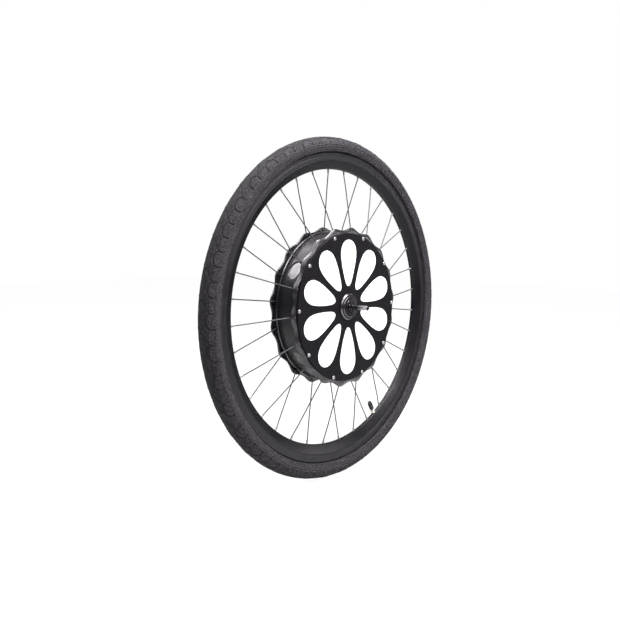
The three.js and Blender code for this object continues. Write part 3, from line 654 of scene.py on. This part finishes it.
def tyre():
    """The tyre as a part, and its attributes."""
    along_all = np.concatenate([ALONG + PITCH * k for k in range(PITCHES)])
    turn_angle = -2 * PI * along_all / (PITCH * PITCHES)
    signed, along = np.meshgrid(np.concatenate([-ACROSS[:0:-1], ACROSS]), np.tile(ALONG, PITCHES))
    across = np.abs(signed)

    def distance(points):
        """Distance from a line of (across, along), which repeats every pitch."""
        best = np.full(across.shape, 1e9)
        for wrap in (-PITCH, 0, PITCH):
            for (x1, y1), (x2, y2) in zip(points[:-1], points[1:]):
                px, py = across - x1, along + wrap - y1
                dx, dy = x2 - x1, y2 - y1
                t = np.clip((px * dx + py * dy) / (dx * dx + dy * dy), 0, 1)
                best = np.minimum(best, np.hypot(px - t * dx, py - t * dy))
        return best

    grooves = np.zeros(across.shape)
    for width, depth, points in GROOVES:
        cut = depth * (1 - smooth(distance(points), width * 0.3, width))
        grooves = np.maximum(grooves, cut)
    height = -grooves + 0.55 * (1 - smooth(distance(GROOVE_LIP), 0.5, 1.5))
    # crown knurl: two crossing families of shallow waves, ten to a pitch
    knurl = (np.cos(2 * PI * (along + 1.6 * across) / (PITCH / 10))
             * np.cos(2 * PI * (along - 1.6 * across) / (PITCH / 10)))
    crown = 1 - smooth(across, 7.5, 13.5)
    height += 0.16 * knurl * crown * (grooves < 0.3)
    height -= 0.25 * crown
    # ridge where the tread ends, a furrow, and two fine ribs on the side wall
    for size, centre, width in ((0.75, 28.6, 0.55), (-0.40, 30.4, 0.7),
                                (0.35, 32.5, 0.45), (0.30, 38.1, 0.45)):
        height += size * bell(across, centre, width)
    height += 0.8 * smooth(across, 40.4, 41.4)    # strip above the bead
    section_angle = signed / SECTION_RADIUS
    outer = SECTION_RADIUS + height
    # how far the tread is darkened: fully on the crown and about half on the shoulder blocks, partly
    # darker rubber and partly painted shade of the fine grooves
    tread = 1 - smooth(across, 14.2, 15.6) * 0.45 - smooth(across, 26.8, 27.8) * 0.55
    # painted shade: the groove floors and the troughs of the crown knurl are darkened towards a near
    # black
    groove_shade = np.clip(grooves / 1.5, 0, 1) + 0.25 * np.clip(-knurl, 0, 1) * crown

    inner = [(SECTION_CENTRE + INSIDE_RADIUS * math.cos(a * DEG), INSIDE_RADIUS * math.sin(a * DEG))
             for a in np.linspace(120, -120, 10)]
    rest = np.array(BEAD + inner + [(r, -y) for r, y in reversed(BEAD)])
    count = len(turn_angle)

    def extended(grid, values):
        return np.concatenate([grid, np.repeat(values[None], count, 0)], 1)

    radius = extended(SECTION_CENTRE + outer * np.cos(section_angle), rest[:, 0])
    y = extended(outer * np.sin(section_angle), rest[:, 1])
    angle = np.repeat(turn_angle[:, None], radius.shape[1], 1)
    part = outward(revolved(angle, radius, y), ring_quads(*radius.shape))
    unmarked = np.zeros(len(rest))
    return part, {"tread": extended(np.clip(tread, 0, 1), unmarked).ravel(),
                  "groove_shade": extended(groove_shade, unmarked).ravel()}


tyre_part, tyre_marks = tyre()
piece("tyre_rubber", [tyre_part], ["tyre"], ["tyre"], sharp=60, marks=tyre_marks)

# -------------------------------------------------------------------------------------- rim
# Half section on the +Y side, from the bed outwards: (radius, y, corner radius)
RIM_HALF = [
    (RIM_BED, 0.0, 0), (RIM_BED, 3.2, 3.0), (290.5, 7.5, 0), (297.0, 11.2, 0),
    (300.1, 12.8, 1.2), (300.9, 12.35, 0.2), (301.8, 12.35, 0.2), (302.3, 13.0, 0.3),
    (309.0, 13.02, 0), (309.5, 12.75, 0.1), (310.1, 12.75, 0.1), (310.5, 13.0, 0.1),
    (315.6, 13.0, 0.6), (317.0, 12.5, 0.6), (317.0, 11.3, 0.5), (315.8, 10.95, 0.3),
    (313.0, 11.2, 0), (308.6, 11.0, 0.6), (308.0, 8.0, 0.5), (306.0, 4.0, 1.0), (306.0, 0.0, 0),
]


def face_places(part):
    """Middle of each quad, and its distance from the wheel axis."""
    middle = part[0][part[1]].mean(1)
    return middle, np.hypot(middle[:, 0], middle[:, 2])


def rim():
    """Slot 0 is the rim, 1 the flat brake tracks and 2 the band near the bed."""
    mirrored = [(r, -y, corner) for r, y, corner in reversed(RIM_HALF[1:-1])]
    part = lathe(fillet(RIM_HALF + mirrored), 324)
    middle, radius = face_places(part)
    track = (radius > 302.2) & (radius < 315.4) & (np.abs(middle[:, 1]) > 12.6)
    nose = (radius > 283.5) & (radius < 286.6)
    piece("rim_profile", [part], ["rim", "track", "rim_nose"], ["rim"], sharp=38,
          quad_slots=track + 2 * nose)


rim()

# ----------------------------------------------------------------------- nipples and spokes
# Name, y of the spoke line at the flange, y of the flange face, side (-1 front), first angle
SPOKE_SETS = (("front", -32.2, FRONT_FACE, -1, FRONT_PHASE),
              ("rear", 18.2, REAR_FACE, 1, REAR_PHASE))
# Stations of (distance from the wheel axis, radius)
NIPPLE = [(274.4, 1.15), (274.7, 1.5), (275.2, 1.75), (276.4, 1.8), (276.9, 1.85), (281.0, 1.85),
          (281.5, 2.05), (282.2, 2.15), (283.4, 2.2), (287.6, 2.2), (288.8, 2.9), (289.2, 2.6)]
NIPPLE_SQUARE = (4, 5)                          # stations with wrench flats
# Stations of (height above the flange face, radius)
SPOKE_HEAD = [(0.55, 0.5), (0.45, 1.15), (0.1, 1.6), (-0.35, 1.85), (-0.8, 1.75), (-1.15, 1.25),
              (-1.5, 1.16)]
ELBOW = 2.2                                     # bend radius


def lean(radius, y_flange):
    """y of the straight line from the flange to the middle of the rim."""
    return y_flange * (RIM_BED - radius) / (RIM_BED - SPOKE_CIRCLE)


def nipple(y_flange):
    path = [(r, lean(r, y_flange) * 0.55, 0) for r, _ in NIPPLE]
    return bar(path, [radius for _, radius in NIPPLE], 16, NIPPLE_SQUARE)


def spoke(y_flange, y_face, side):
    """J-bend spoke: a round head in the flange, the elbow, then straight to the nipple."""
    path = [(SPOKE_CIRCLE, y_face + side * height, 0) for height, _ in SPOKE_HEAD]
    radii = [radius for _, radius in SPOKE_HEAD]
    elbow_x = SPOKE_CIRCLE + ELBOW
    elbow_y = lean(elbow_x, y_flange) + side * ELBOW
    for angle in np.linspace(0, 90, 7) * DEG:
        path.append((elbow_x - ELBOW * math.cos(angle), elbow_y - side * ELBOW * math.sin(angle), 0))
        radii.append(1.16)
    for r in (162, 180, 215, 250, 268, 274.9):
        # the last stretch bends to meet the nipple
        bend = 1 - 0.45 * max(0, r - 262) / 13
        path.append((r, lean(r, y_flange) * bend, 0))
        radii.append(1.15)
    return bar(path, radii, 12)


piece("nipples_nickel",
      [turn(nipple(y_flange), phase + SPOKE_STEP * k)
       for k in range(SPOKES) for _, y_flange, _, _, phase in SPOKE_SETS],
      ["nipple"], ["spoke_nipples"], sharp=40)
for end, y_flange, y_face, side, phase in SPOKE_SETS:
    piece("spoke_set_" + end,
          [turn(spoke(y_flange, y_face, side), phase + SPOKE_STEP * k) for k in range(SPOKES)],
          ["steel"], ["spokes_" + end], sharp=50)

# ------------------------------------------------------------------------------------ valve
# Valve profiles are (radius, distance from the wheel axis)
VALVE_ANGLE = 299.15
THREAD_START, THREAD_PITCH, THREAD_TURNS = 272.2, 0.8, 12


def valve_piece(name, profile, segments, mat, replaces, radius_fun=None):
    """A piece turned about Y, laid along the valve's direction."""
    verts, quads, tris = lathe(profile, segments, radius_fun)
    part = outward(verts[:, [1, 0, 2]], quads, tris)
    piece(name, [turn(part, VALVE_ANGLE)], [mat], [replaces], sharp=40)


def valve():
    stem = [(0, 264.6), (1.3, 264.6), (1.6, 265.2), (1.6, 271.0), (2.1, 271.6)]
    for k in range(THREAD_TURNS):
        y = THREAD_START + THREAD_PITCH * k
        stem += [(2.55, y), (2.9, y + 0.25), (2.9, y + 0.4), (2.55, y + 0.62)]
    stem += [(2.7, THREAD_START + THREAD_PITCH * THREAD_TURNS), (2.7, 307.0), (5.2, 308.4),
             (5.2, 309.2), (0, 309.2)]
    valve_piece("valve_stem_threaded", stem, 24, "brass", "valve_stem")

    ring = [(3.1, 277.8, 0.3), (5.0, 277.8, 0.5), (5.0, 281.2, 0.5), (3.1, 281.2, 0.3)]
    valve_piece("valve_ring_knurled", fillet(ring, 3), 72, "brass", "valve_lock_ring",
                lambda angle, r, y: np.where(r > 4, r + 0.16 * np.cos(18 * angle), r))

    cap = [(0, 252.4), (3.4, 252.4, 1.2), (4.2, 254.4, 1.0), (4.9, 258.4, 0.6), (4.9, 271.0, 0.5),
           (4.5, 271.6, 0.2), (3.5, 271.6, 0.2), (3.5, 257.4, 0.5), (0, 257.4)]

    def ribs(angle, r, y):
        ribbed = (r > 4.1) & (y > 255.9) & (y < 270.7)
        return np.where(ribbed, r + 0.2 * np.cos(16 * angle), r)

    valve_piece("valve_cap_ribbed", fillet(cap, 3, closed=False), 96, "black_plastic",
                "valve_cap", ribs)


valve()

# -------------------------------------------------------------------------------- hub shell
PAD_STEP, PAD_PHASE = 72.0, 5.0                 # five oval pads round the drum
PAD_Y = -11.5
PAD_HALF_LENGTH, PAD_HALF_WIDTH = 19.5, 15.0


def scallop(phase, samples=24):
    """Flange outline with a lobe at each spoke hole."""
    count = SPOKES * samples
    degrees = phase + 360.0 * np.arange(count) / count
    wave = (1 + np.cos(SPOKES * (degrees - phase) * DEG)) / 2
    radius = 156.2 + 6.4 * wave ** 1.15
    return np.stack([radius * np.cos(degrees * DEG), radius * np.sin(degrees * DEG)], -1)


def spoke_holes(phase):
    angles = [(phase + SPOKE_STEP * k) * DEG for k in range(SPOKES)]
    return [circle(1.9, 16, SPOKE_CIRCLE * math.cos(a), SPOKE_CIRCLE * math.sin(a))
            for a in angles]


def near_pad(angle, y):
    """Degrees from the nearest pad's middle, and a distance that is 1 on the pad's outline."""
    degrees = np.degrees(angle) - PAD_PHASE
    off = degrees - PAD_STEP * np.round(degrees / PAD_STEP)
    return off, np.sqrt((off * DEG * DRUM_RADIUS / PAD_HALF_LENGTH) ** 2
                        + ((y - PAD_Y) / PAD_HALF_WIDTH) ** 2)


def drum_wall():
    """Drum between the flanges, with flattened oval pads sunk into it."""
    outside = [(DRUM_RADIUS, y) for y in [-37.0, *np.arange(-34.5, 8.6, 0.9), 8.7]]
    loop = [(150.2, -37.2), *outside, (150.1, 9.0), (142.4, 9.0), (142.4, -30.0),
            (140.0, -30.0), (140.0, -37.2)]

    def surface(angle, radius, y):
        off, oval = near_pad(angle, y)
        level = DRUM_RADIUS * math.cos(7.4 * DEG) / np.cos(off * DEG) - 1.1
        sunk = 0.6 * level + 0.4 * (radius - 1.9)
        on_pad = 1 - smooth(oval, 0.93, 1.04)
        # the wall swells towards the flange at each end
        swell = 1.4 * bell(y, -34.6, 1.4) + 0.9 * bell(y, 8.8, 0.9)
        new = radius * (1 - on_pad) + sunk * on_pad + swell * 0.9
        return np.where(radius > 149.9, new, radius)

    return lathe(loop, 720, surface)


def hub_shell():
    """Slot 0 is the front flange, 1 the pads and 2 the rest of the drum."""
    flange = plate(scallop(FRONT_PHASE), [circle(140.0, 180), *spoke_holes(FRONT_PHASE)],
                   FRONT_FACE, -33.6, bevel=0.9, steps=3, hole_bevel=0.35,
                   front=(6.6, 4.0, 12, 1.55))
    drum = drum_wall()
    middle, radius = face_places(drum)
    _, oval = near_pad(np.arctan2(middle[:, 2], middle[:, 0]), middle[:, 1])
    drum_slots = np.where((oval < 0.97) & (radius > 145), 1, 2)
    piece("hub_shell_cast", [flange, drum], ["hub_black", "pad", "drum"],
          ["hub_shell"], sharp=30,
          quad_slots=np.concatenate([np.zeros(len(flange[1]), int), drum_slots]))


hub_shell()

# ------------------------------------------------------------------------------- rear cover
# Closed profile: (radius, y, corner radius)
REAR_PROFILE = [
    (155.6, 9.3, 0.4), (155.6, 13.0, 0.6), (152.0, 13.6, 0.8), (150.6, 15.5, 0.6),
    (150.6, 23.9, 1.2), (146.0, 24.6, 0.6), (140.0, 24.6, 0.6), (137.5, 23.4, 0.8),
    (112, 23.4, 0.6), (109.5, 25.2, 0.9), (101, 25.2, 0.9), (98.5, 23.4, 0.6), (52, 23.4, 4),
    (38, 24.4, 6), (31.5, 30.0, 2.5), (30.0, 32.0, 1.0), (30.0, 39.5, 0.8), (17.4, 39.5, 0.3),
    (17.4, 41.5, 0.5), (13.2, 41.5, 0.3), (13.2, 34.0), (17.8, 34.0), (17.8, 21.4),
    (142.4, 21.2), (142.4, 12.6), (148.8, 12.6), (148.8, 9.3, 0.3),
]
REAR_RIBS, REAR_RIB_STEP = 18.0, 36.0           # angle of the first rib, angle between ribs


def rear_ribs(angle, radius, y):
    """Ten shallow ribs across the rear wall."""
    degrees = np.degrees(angle) - REAR_RIBS
    off = np.abs(degrees - REAR_RIB_STEP * np.round(degrees / REAR_RIB_STEP)) * DEG * radius
    rib = (1 - smooth(off, 2.2, 4.2)) * smooth(radius, 40, 50) * (1 - smooth(radius, 128, 138))
    return np.where((y > 23.2) & (radius > 38) & (radius < 139), y + 1.5 * rib, y)


def densify(profile, step=5.0, inner=35, outer=142, above=23.0):
    """Adds points along the rear wall, so that the ribs have vertices to shape."""
    out = []
    for a, b in zip(profile, profile[1:] + profile[:1]):
        out.append(a)
        length = math.hypot(b[0] - a[0], b[1] - a[1])
        on_wall = min(a[0], b[0]) > inner and max(a[0], b[0]) < outer and min(a[1], b[1]) > above
        if length > step and on_wall:
            spans = int(length / step) + 1
            out += [(a[0] + (b[0] - a[0]) * j / spans, a[1] + (b[1] - a[1]) * j / spans)
                    for j in range(1, spans)]
    return out


def rear_cover():
    flange = plate(scallop(REAR_PHASE), [circle(143.0, 180), *spoke_holes(REAR_PHASE)],
                   20.0, REAR_FACE, bevel=0.9, steps=3, hole_bevel=0.35)
    wall = lathe(densify(fillet(REAR_PROFILE, 3)), 540, y_fun=rear_ribs)
    # six small rings on the end of the central boss
    ring = lathe(fillet([(2.3, 38.6, 0.2), (3.4, 38.6, 0.1), (3.4, 39.9, 0.4),
                         (2.3, 39.9, 0.3)], 3), 24)
    rings = [place(ring, 23.4, 60 * k) for k in range(6)]
    piece("rear_cover_cast", [flange, wall, *rings], ["hub_black"],
          ["rear_cover"], sharp=30)


rear_cover()

# ------------------------------------------------------------------ petal cover and insert
# Half a petal lying along +X: (distance from the wheel axis, half width)
PETAL_HALF = [
    (41.9, 0.0), (42.9, 3.3), (46.6, 6.9), (53, 10.3), (65, 14.7), (78, 18.8), (89, 21.6),
    (98, 23.3), (107, 24.3), (114, 24.0), (121, 22.4), (127.5, 19.0), (132.6, 14.2),
    (136.2, 7.6), (137.6, 0.0),
]
PETAL_LOOP = ccw(spline(PETAL_HALF + [(x, -w) for x, w in reversed(PETAL_HALF[1:-1])], 5))
FIRST_PETAL = 90                                # the first petal points up


def petals(gap=0.0):
    """Outlines of all the petals, made smaller by gap."""
    loop = inset(PETAL_LOOP, gap) if gap else PETAL_LOOP
    x, z = loop[:, 0], loop[:, 1]
    out = []
    for k in range(PETALS):
        angle = (FIRST_PETAL + PETAL_STEP * k) * DEG
        cos, sin = math.cos(angle), math.sin(angle)
        out.append(np.stack([x * cos - z * sin, x * sin + z * cos], -1))
    return out


def petal_cover():
    sheet = plate(circle(150.5, 360), [*petals(), circle(COVER_BORE, 90)], -41.0, -38.3,
                  bevel=0.35, steps=3, hole_bevel=0.55, front=(1.5, 2.2, 6, 1.0))
    sleeve = lathe(fillet([(COVER_BORE, -40.0), (23.0, -40.0), (23.0, -28.6, 0.6),
                           (COVER_BORE, -28.6, 0.4)], 3), 96)
    # low raised ring around the bearing cap
    ring = lathe(fillet([(27.2, -40.9), (32.0, -40.9), (31.2, -41.25, 0.3),
                         (27.2, -41.25)], 3), 144)
    piece("petal_cover_plate", [sheet, sleeve, ring], ["cover_black"],
          ["front_cover"], sharp=30)


def petal_insert():
    """White disc behind the cover, with petals that stand up into its openings."""
    disc = plate(circle(139.2, 240), [circle(25.0, 72)], -37.6, -36.2, bevel=0.3, steps=2)
    raised = [plate(loop, [], -40.3, -37.0, bevel=0.35, steps=3) for loop in petals(gap=0.25)]
    piece("petal_insert_white", [disc, *raised], ["petal_white"],
          ["petal_insert"], sharp=30)


petal_cover()
petal_insert()


# ------------------------------------------------------------ cover screws and bearing cap
def cover_screws():
    """Dome-headed screws with a hexagon socket, one between each two petals."""
    dome = [(3.6 - 1.9 * (1 - math.cos(a * DEG)), -41.75 - 1.2 * math.sin(a * DEG))
            for a in (80, 65, 50, 35, 20, 8)]
    profile = [(0, -41.75), (1.2, -41.75), (1.21, -42.75), (1.6, -42.95), *dome,
               (3.65, -41.6), (3.65, -41.36), (0, -41.36)]
    head = lathe(profile, 48, lambda angle, r, y: np.where(r < 1.5, hex_radius(angle, 1.25), r))
    shank = lathe([(0, -41.5), (1.9, -41.5), (1.9, 18.2), (1.5, 18.6), (0, 18.6)], 12)
    piece("cover_screw_set",
          [place(part, 145.8, FIRST_PETAL + PETAL_STEP * (k + 0.5))
           for k in range(PETALS) for part in (head, shank)],
          ["screw"], ["cover_screws"], sharp=35)


def bearing_cap():
    profile = [(27.0, -41.35, 0.2), (27.0, -43.1, 0.5), (24.7, -45.4, 0.5), (22.4, -45.4, 0.3),
               (21.8, -44.9, 0.2), (14.0, -44.9, 0.4), (14.0, -41.35)]
    piece("bearing_cap_turned", [lathe(fillet(profile), 192)], ["boss_black"],
          ["bearing_cap_front"], sharp=30)


cover_screws()
bearing_cap()

# ------------------------------------------------------------------------------------- axle
AXLE_RADIUS = 4.75
AXLE_THREAD_START, AXLE_THREAD_END = 50.3, 90.45
AXLE_THREAD_PITCH = 1.0


def axle_half(seat, shoulder):
    """Profile from the end of the axle inwards; seat and shoulder are its two last steps."""
    threaded = [(AXLE_RADIUS, y) for y in np.arange(90.4, AXLE_THREAD_START, -0.25)]
    return [(0, 83.8), (3.25, 83.8), (3.25, 91.0), (3.9, 91.0), (4.35, 90.7), *threaded,
            (4.3, 50.0), (4.3, 46.0), (AXLE_RADIUS, 45.6), (7.3, 45.6), (7.3, seat),
            (9.2, seat - 0.2), (9.2, shoulder), (12.0, shoulder - 0.2)]


def axle_surface(angle, radius, y):
    """Cuts the thread, and two flats near each end."""
    height = np.abs(y)
    on_bar = radius > 4.7
    wave = np.abs((y / AXLE_THREAD_PITCH - angle / (2 * PI)) % 1.0 - 0.5) * 2
    threaded = (height > AXLE_THREAD_START) & (height < AXLE_THREAD_END) & on_bar
    fade = smooth(AXLE_THREAD_END - height, 0, 0.8)
    cut = np.where(threaded, radius - 0.07 * (1 - wave) * fade, radius)
    flat = 4.2 / np.maximum(1e-6, np.abs(np.cos(angle)))
    return np.where((height > 58.6) & (height < 84.0) & on_bar, np.minimum(cut, flat), cut)


def axle():
    rear = axle_half(seat=22.4, shoulder=8.6)
    front = [(r, -y) for r, y in reversed(axle_half(seat=28.6, shoulder=12.6))]
    piece("axle_threaded", [lathe(rear + front, 72, axle_surface)], ["axle_steel"],
          ["axle"], sharp=28, body=AXLE)


def end_pieces():
    """Plug, dust shield, washer and locknut at each end, built on +Y and mirrored to -Y."""
    plug = lathe(fillet([(0, 90.8), (2.5, 90.8, 0.3), (2.9, 91.15, 0.2), (4.1, 91.15, 0.2),
                         (4.1, 91.02), (3.15, 91.02), (3.15, 84.0), (0, 84.0)],
                        2, closed=False), 48)
    shield = lathe(fillet([(5.1, 45.8), (21.5, 45.8, 0.1), (21.5, 46.0, 0.1), (20.0, 47.0, 0.3),
                           (16.4, 47.0, 0.3), (15.8, 46.6, 0.2), (5.1, 46.6)], 3), 144)
    washer = lathe(fillet([(5.1, 46.9, 0.1), (14.6, 46.9, 0.15), (14.6, 47.85, 0.35),
                           (5.1, 47.85, 0.1)], 3), 120)
    nut = lathe(
        fillet([(5.15, 48.05, 0.15), (9.2, 48.05), (9.8, 48.35), (9.8, 49.0), (8.7, 50.0, 0.2),
                (6.0, 50.0, 0.2), (5.15, 49.4)], 2),
        96, lambda angle, r, y: np.where(r > 8.0, np.minimum(r, hex_radius(angle, 8.5)), r))
    # name, part, material, slot, replaced node, crease angle
    table = (
        ("axle_end_", plug, "hole_dark", "black_plastic", "axle_plug_", 40),
        ("dust_shield_turned_", shield, "boss_black", "boss_black", "dust_shield_", 30),
        ("lock_washer_turned_", washer, "boss_black", "boss_black", "lock_washer_", 30),
        ("locknut_hex_", nut, "boss_black", "boss_black", "locknut_", 25),
    )
    for end in ("front", "rear"):
        for name, part, mat, slot, node, sharp in table:
            part = mirror_y(part) if end == "front" else part
            piece(name + end, [part], [mat], [node + end], sharp=sharp, body=AXLE)


axle()
end_pieces()

# ------------------------------------------------------------------- CAD nodes kept as they are
KEPT = {
    "tube": ["inner_tube"],
    "rim_tape": ["rim_tape"],
    "seal": ["seal_front", "seal_rear"],
    "iron": ["rotor_yoke", "stator_core"],
    "magnet": ["magnet_ring"],
    "bearing_steel": [f"bearing_{end}_{part}" for end in ("front", "rear")
                      for part in ("outer_ring", "inner_ring", "balls")],
    "copper": ["stator_windings"],
    "aluminium": ["stator_carrier", "controller_case", "controller_lid"],
    "board": ["controller_board"],
    "cable_black": ["phase_cable"],
    "cable_red": ["battery_cable"],
    "battery": [f"battery_module_{k}" for k in (1, 2, 3, 4)],
}
for key, names in KEPT.items():
    for name in names:
        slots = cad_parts[name].data.materials
        slots.clear()
        slots.append(MAT[key])

# ----------------------------------------------------------------------- studio, in metres
scene = bpy.context.scene
WHITE = (1, 1, 1, 1)


def floor(half=6.0, z=-0.3502):
    """The camera sees a nearly white floor. Reflections and bounce light see a grey one that
    darkens with distance."""
    mesh = bpy.data.meshes.new("studio_floor")
    corners = [(-half, -half, z), (half, -half, z), (half, half, z), (-half, half, z)]
    mesh.from_pydata(corners, [], [(0, 1, 2, 3)])
    obj = bpy.data.objects.new("studio_floor", mesh)
    scene.collection.objects.link(obj)
    mat = bpy.data.materials.new("floor_pale")
    graph = Graph(mat)
    out = graph.node("OutputMaterial")
    position = graph.node("NewGeometry").outputs["Position"]
    far = graph.node("VectorMath", {0: position}, operation="LENGTH").outputs["Value"]
    fall = graph.remap(far, 0.7, 2.6, 0.52, 0.08, interpolation_type="SMOOTHSTEP")
    seen = graph.node("LightPath").outputs["Is Camera Ray"]
    diffuse = graph.node("BsdfDiffuse", {0: graph.mix_value(seen, fall, 0.12)})
    glow_seen = graph.node("LightPath").outputs["Is Camera Ray"]
    glow = graph.node("Emission", {0: WHITE, 1: graph.multiply(glow_seen, 0.93)})
    total = graph.node("AddShader", {0: diffuse.outputs[0], 1: glow.outputs[0]})
    graph.feed(out, 0, total.outputs[0])
    mesh.materials.append(mat)


def build_world():
    """White to the camera; to everything else a grey that brightens upwards."""
    world = bpy.data.worlds.new("studio")
    scene.world = world
    graph = Graph(world)
    out = graph.node("OutputWorld")
    seen = graph.node("Background", {0: WHITE, 1: 1.0})
    direction = graph.node("TexCoord").outputs["Generated"]
    height = graph.node("SeparateXYZ", {0: direction}).outputs["Z"]
    strength = graph.remap(height, -0.1, 0.9, 0.06, 0.55)
    light = graph.node("Background", {0: WHITE, 1: strength})
    camera_ray = graph.node("LightPath").outputs["Is Camera Ray"]
    both = graph.node("MixShader", {0: camera_ray, 1: light.outputs[0], 2: seen.outputs[0]})
    graph.feed(out, 0, both.outputs[0])


def area(name, at, rotation, size, size_y, power):
    light = bpy.data.lights.new(name, "AREA")
    light.shape = "RECTANGLE"
    light.size = size
    light.size_y = size_y
    light.energy = power
    light.color = (1.0, 0.965, 1.0)
    obj = bpy.data.objects.new(name, light)
    obj.location = at
    obj.rotation_euler = rotation
    scene.collection.objects.link(obj)


def softbox(name, at, target, size, size_y, power):
    rotation = (Vector(target) - Vector(at)).to_track_quat("-Z", "Y").to_euler()
    area(name, at, rotation, size, size_y, power)


def strip(name, start, end, width, power):
    """Long soft light whose long side runs from start to end, turned to face the hub."""
    start, end = Vector(start), Vector(end)
    middle = (start + end) / 2
    x = (end - start).normalized()
    z = (middle - x * middle.dot(x)).normalized()
    rotation = Matrix((x, z.cross(x), z)).transposed().to_euler()
    area(name, middle, rotation, (end - start).length, width, power)


def lights():
    softbox("key_upper_left", at=(-1.42, 0.05, 1.87), target=(0, 0, 0),
            size=3.0, size_y=0.9, power=24)
    softbox("back_softbox", at=(-0.85, 1.72, 1.66), target=(-0.1, 0, 0.1),
            size=0.9, size_y=0.6, power=20)
    softbox("back_top_soft", at=(0.16, 1.55, 1.78), target=(0, 0, 0),
            size=0.9, size_y=0.5, power=11)
    softbox("top_soft", at=(0.12, -0.45, 1.35), target=(0, 0, 0.3),
            size=0.8, size_y=0.7, power=38)
    softbox("top_small", at=(-0.78, -0.46, 1.99), target=(0.2, 0, -0.2),
            size=0.7, size_y=0.7, power=20)
    softbox("right_fill", at=(1.9, -1.3, 0.35), target=(0, 0, -0.05),
            size=0.7, size_y=0.9, power=6.5)
    softbox("front_right_soft", at=(0.50, -1.96, 0.86), target=(0, 0, 0),
            size=0.6, size_y=0.5, power=9)
    strip("front_long_strip", start=(1.02, -0.97, 1.79), end=(-1.10, -1.70, 0.74),
          width=0.80, power=24)


def camera(azimuth, elevation, distance, pan, tilt, roll, lens, shift_x, shift_y):
    """Stands at a distance from the origin, aims at it, then pans, tilts and rolls (degrees)."""
    data = bpy.data.cameras.new("camera")
    data.sensor_width = 36.0
    data.sensor_fit = "HORIZONTAL"
    data.lens = lens
    data.shift_x = shift_x
    data.shift_y = shift_y
    data.clip_start = 0.01

    def cos_sin(degrees):
        return math.cos(degrees * DEG), math.sin(degrees * DEG)

    cos_a, sin_a = cos_sin(azimuth)
    cos_e, sin_e = cos_sin(elevation)
    back = np.array([sin_a * cos_e, -cos_a * cos_e, sin_e])
    right = np.array([cos_a, sin_a, 0.0])
    aimed = np.array([right, np.cross(back, right), back])
    c, s = cos_sin(tilt)
    tilted = np.array([[1, 0, 0], [0, c, -s], [0, s, c]])
    c, s = cos_sin(pan)
    panned = np.array([[c, 0, s], [0, 1, 0], [-s, 0, c]])
    c, s = cos_sin(roll)
    rolled = np.array([[c, -s, 0], [s, c, 0], [0, 0, 1]])
    pose = np.eye(4)
    pose[:3, :3] = (rolled @ tilted @ panned @ aimed).T
    pose[:3, 3] = back * distance
    obj = bpy.data.objects.new("camera", data)
    obj.matrix_world = Matrix(pose.tolist())
    scene.collection.objects.link(obj)
    scene.camera = obj


floor()
build_world()
lights()
camera(azimuth=-48.96, elevation=5.43, distance=1.5175, pan=-1.77, tilt=-5.97, roll=-0.72,
       lens=42.056129, shift_x=-0.0030645161, shift_y=-0.13032258)
scene.view_settings.view_transform = "Standard"
scene.view_settings.look = "None"
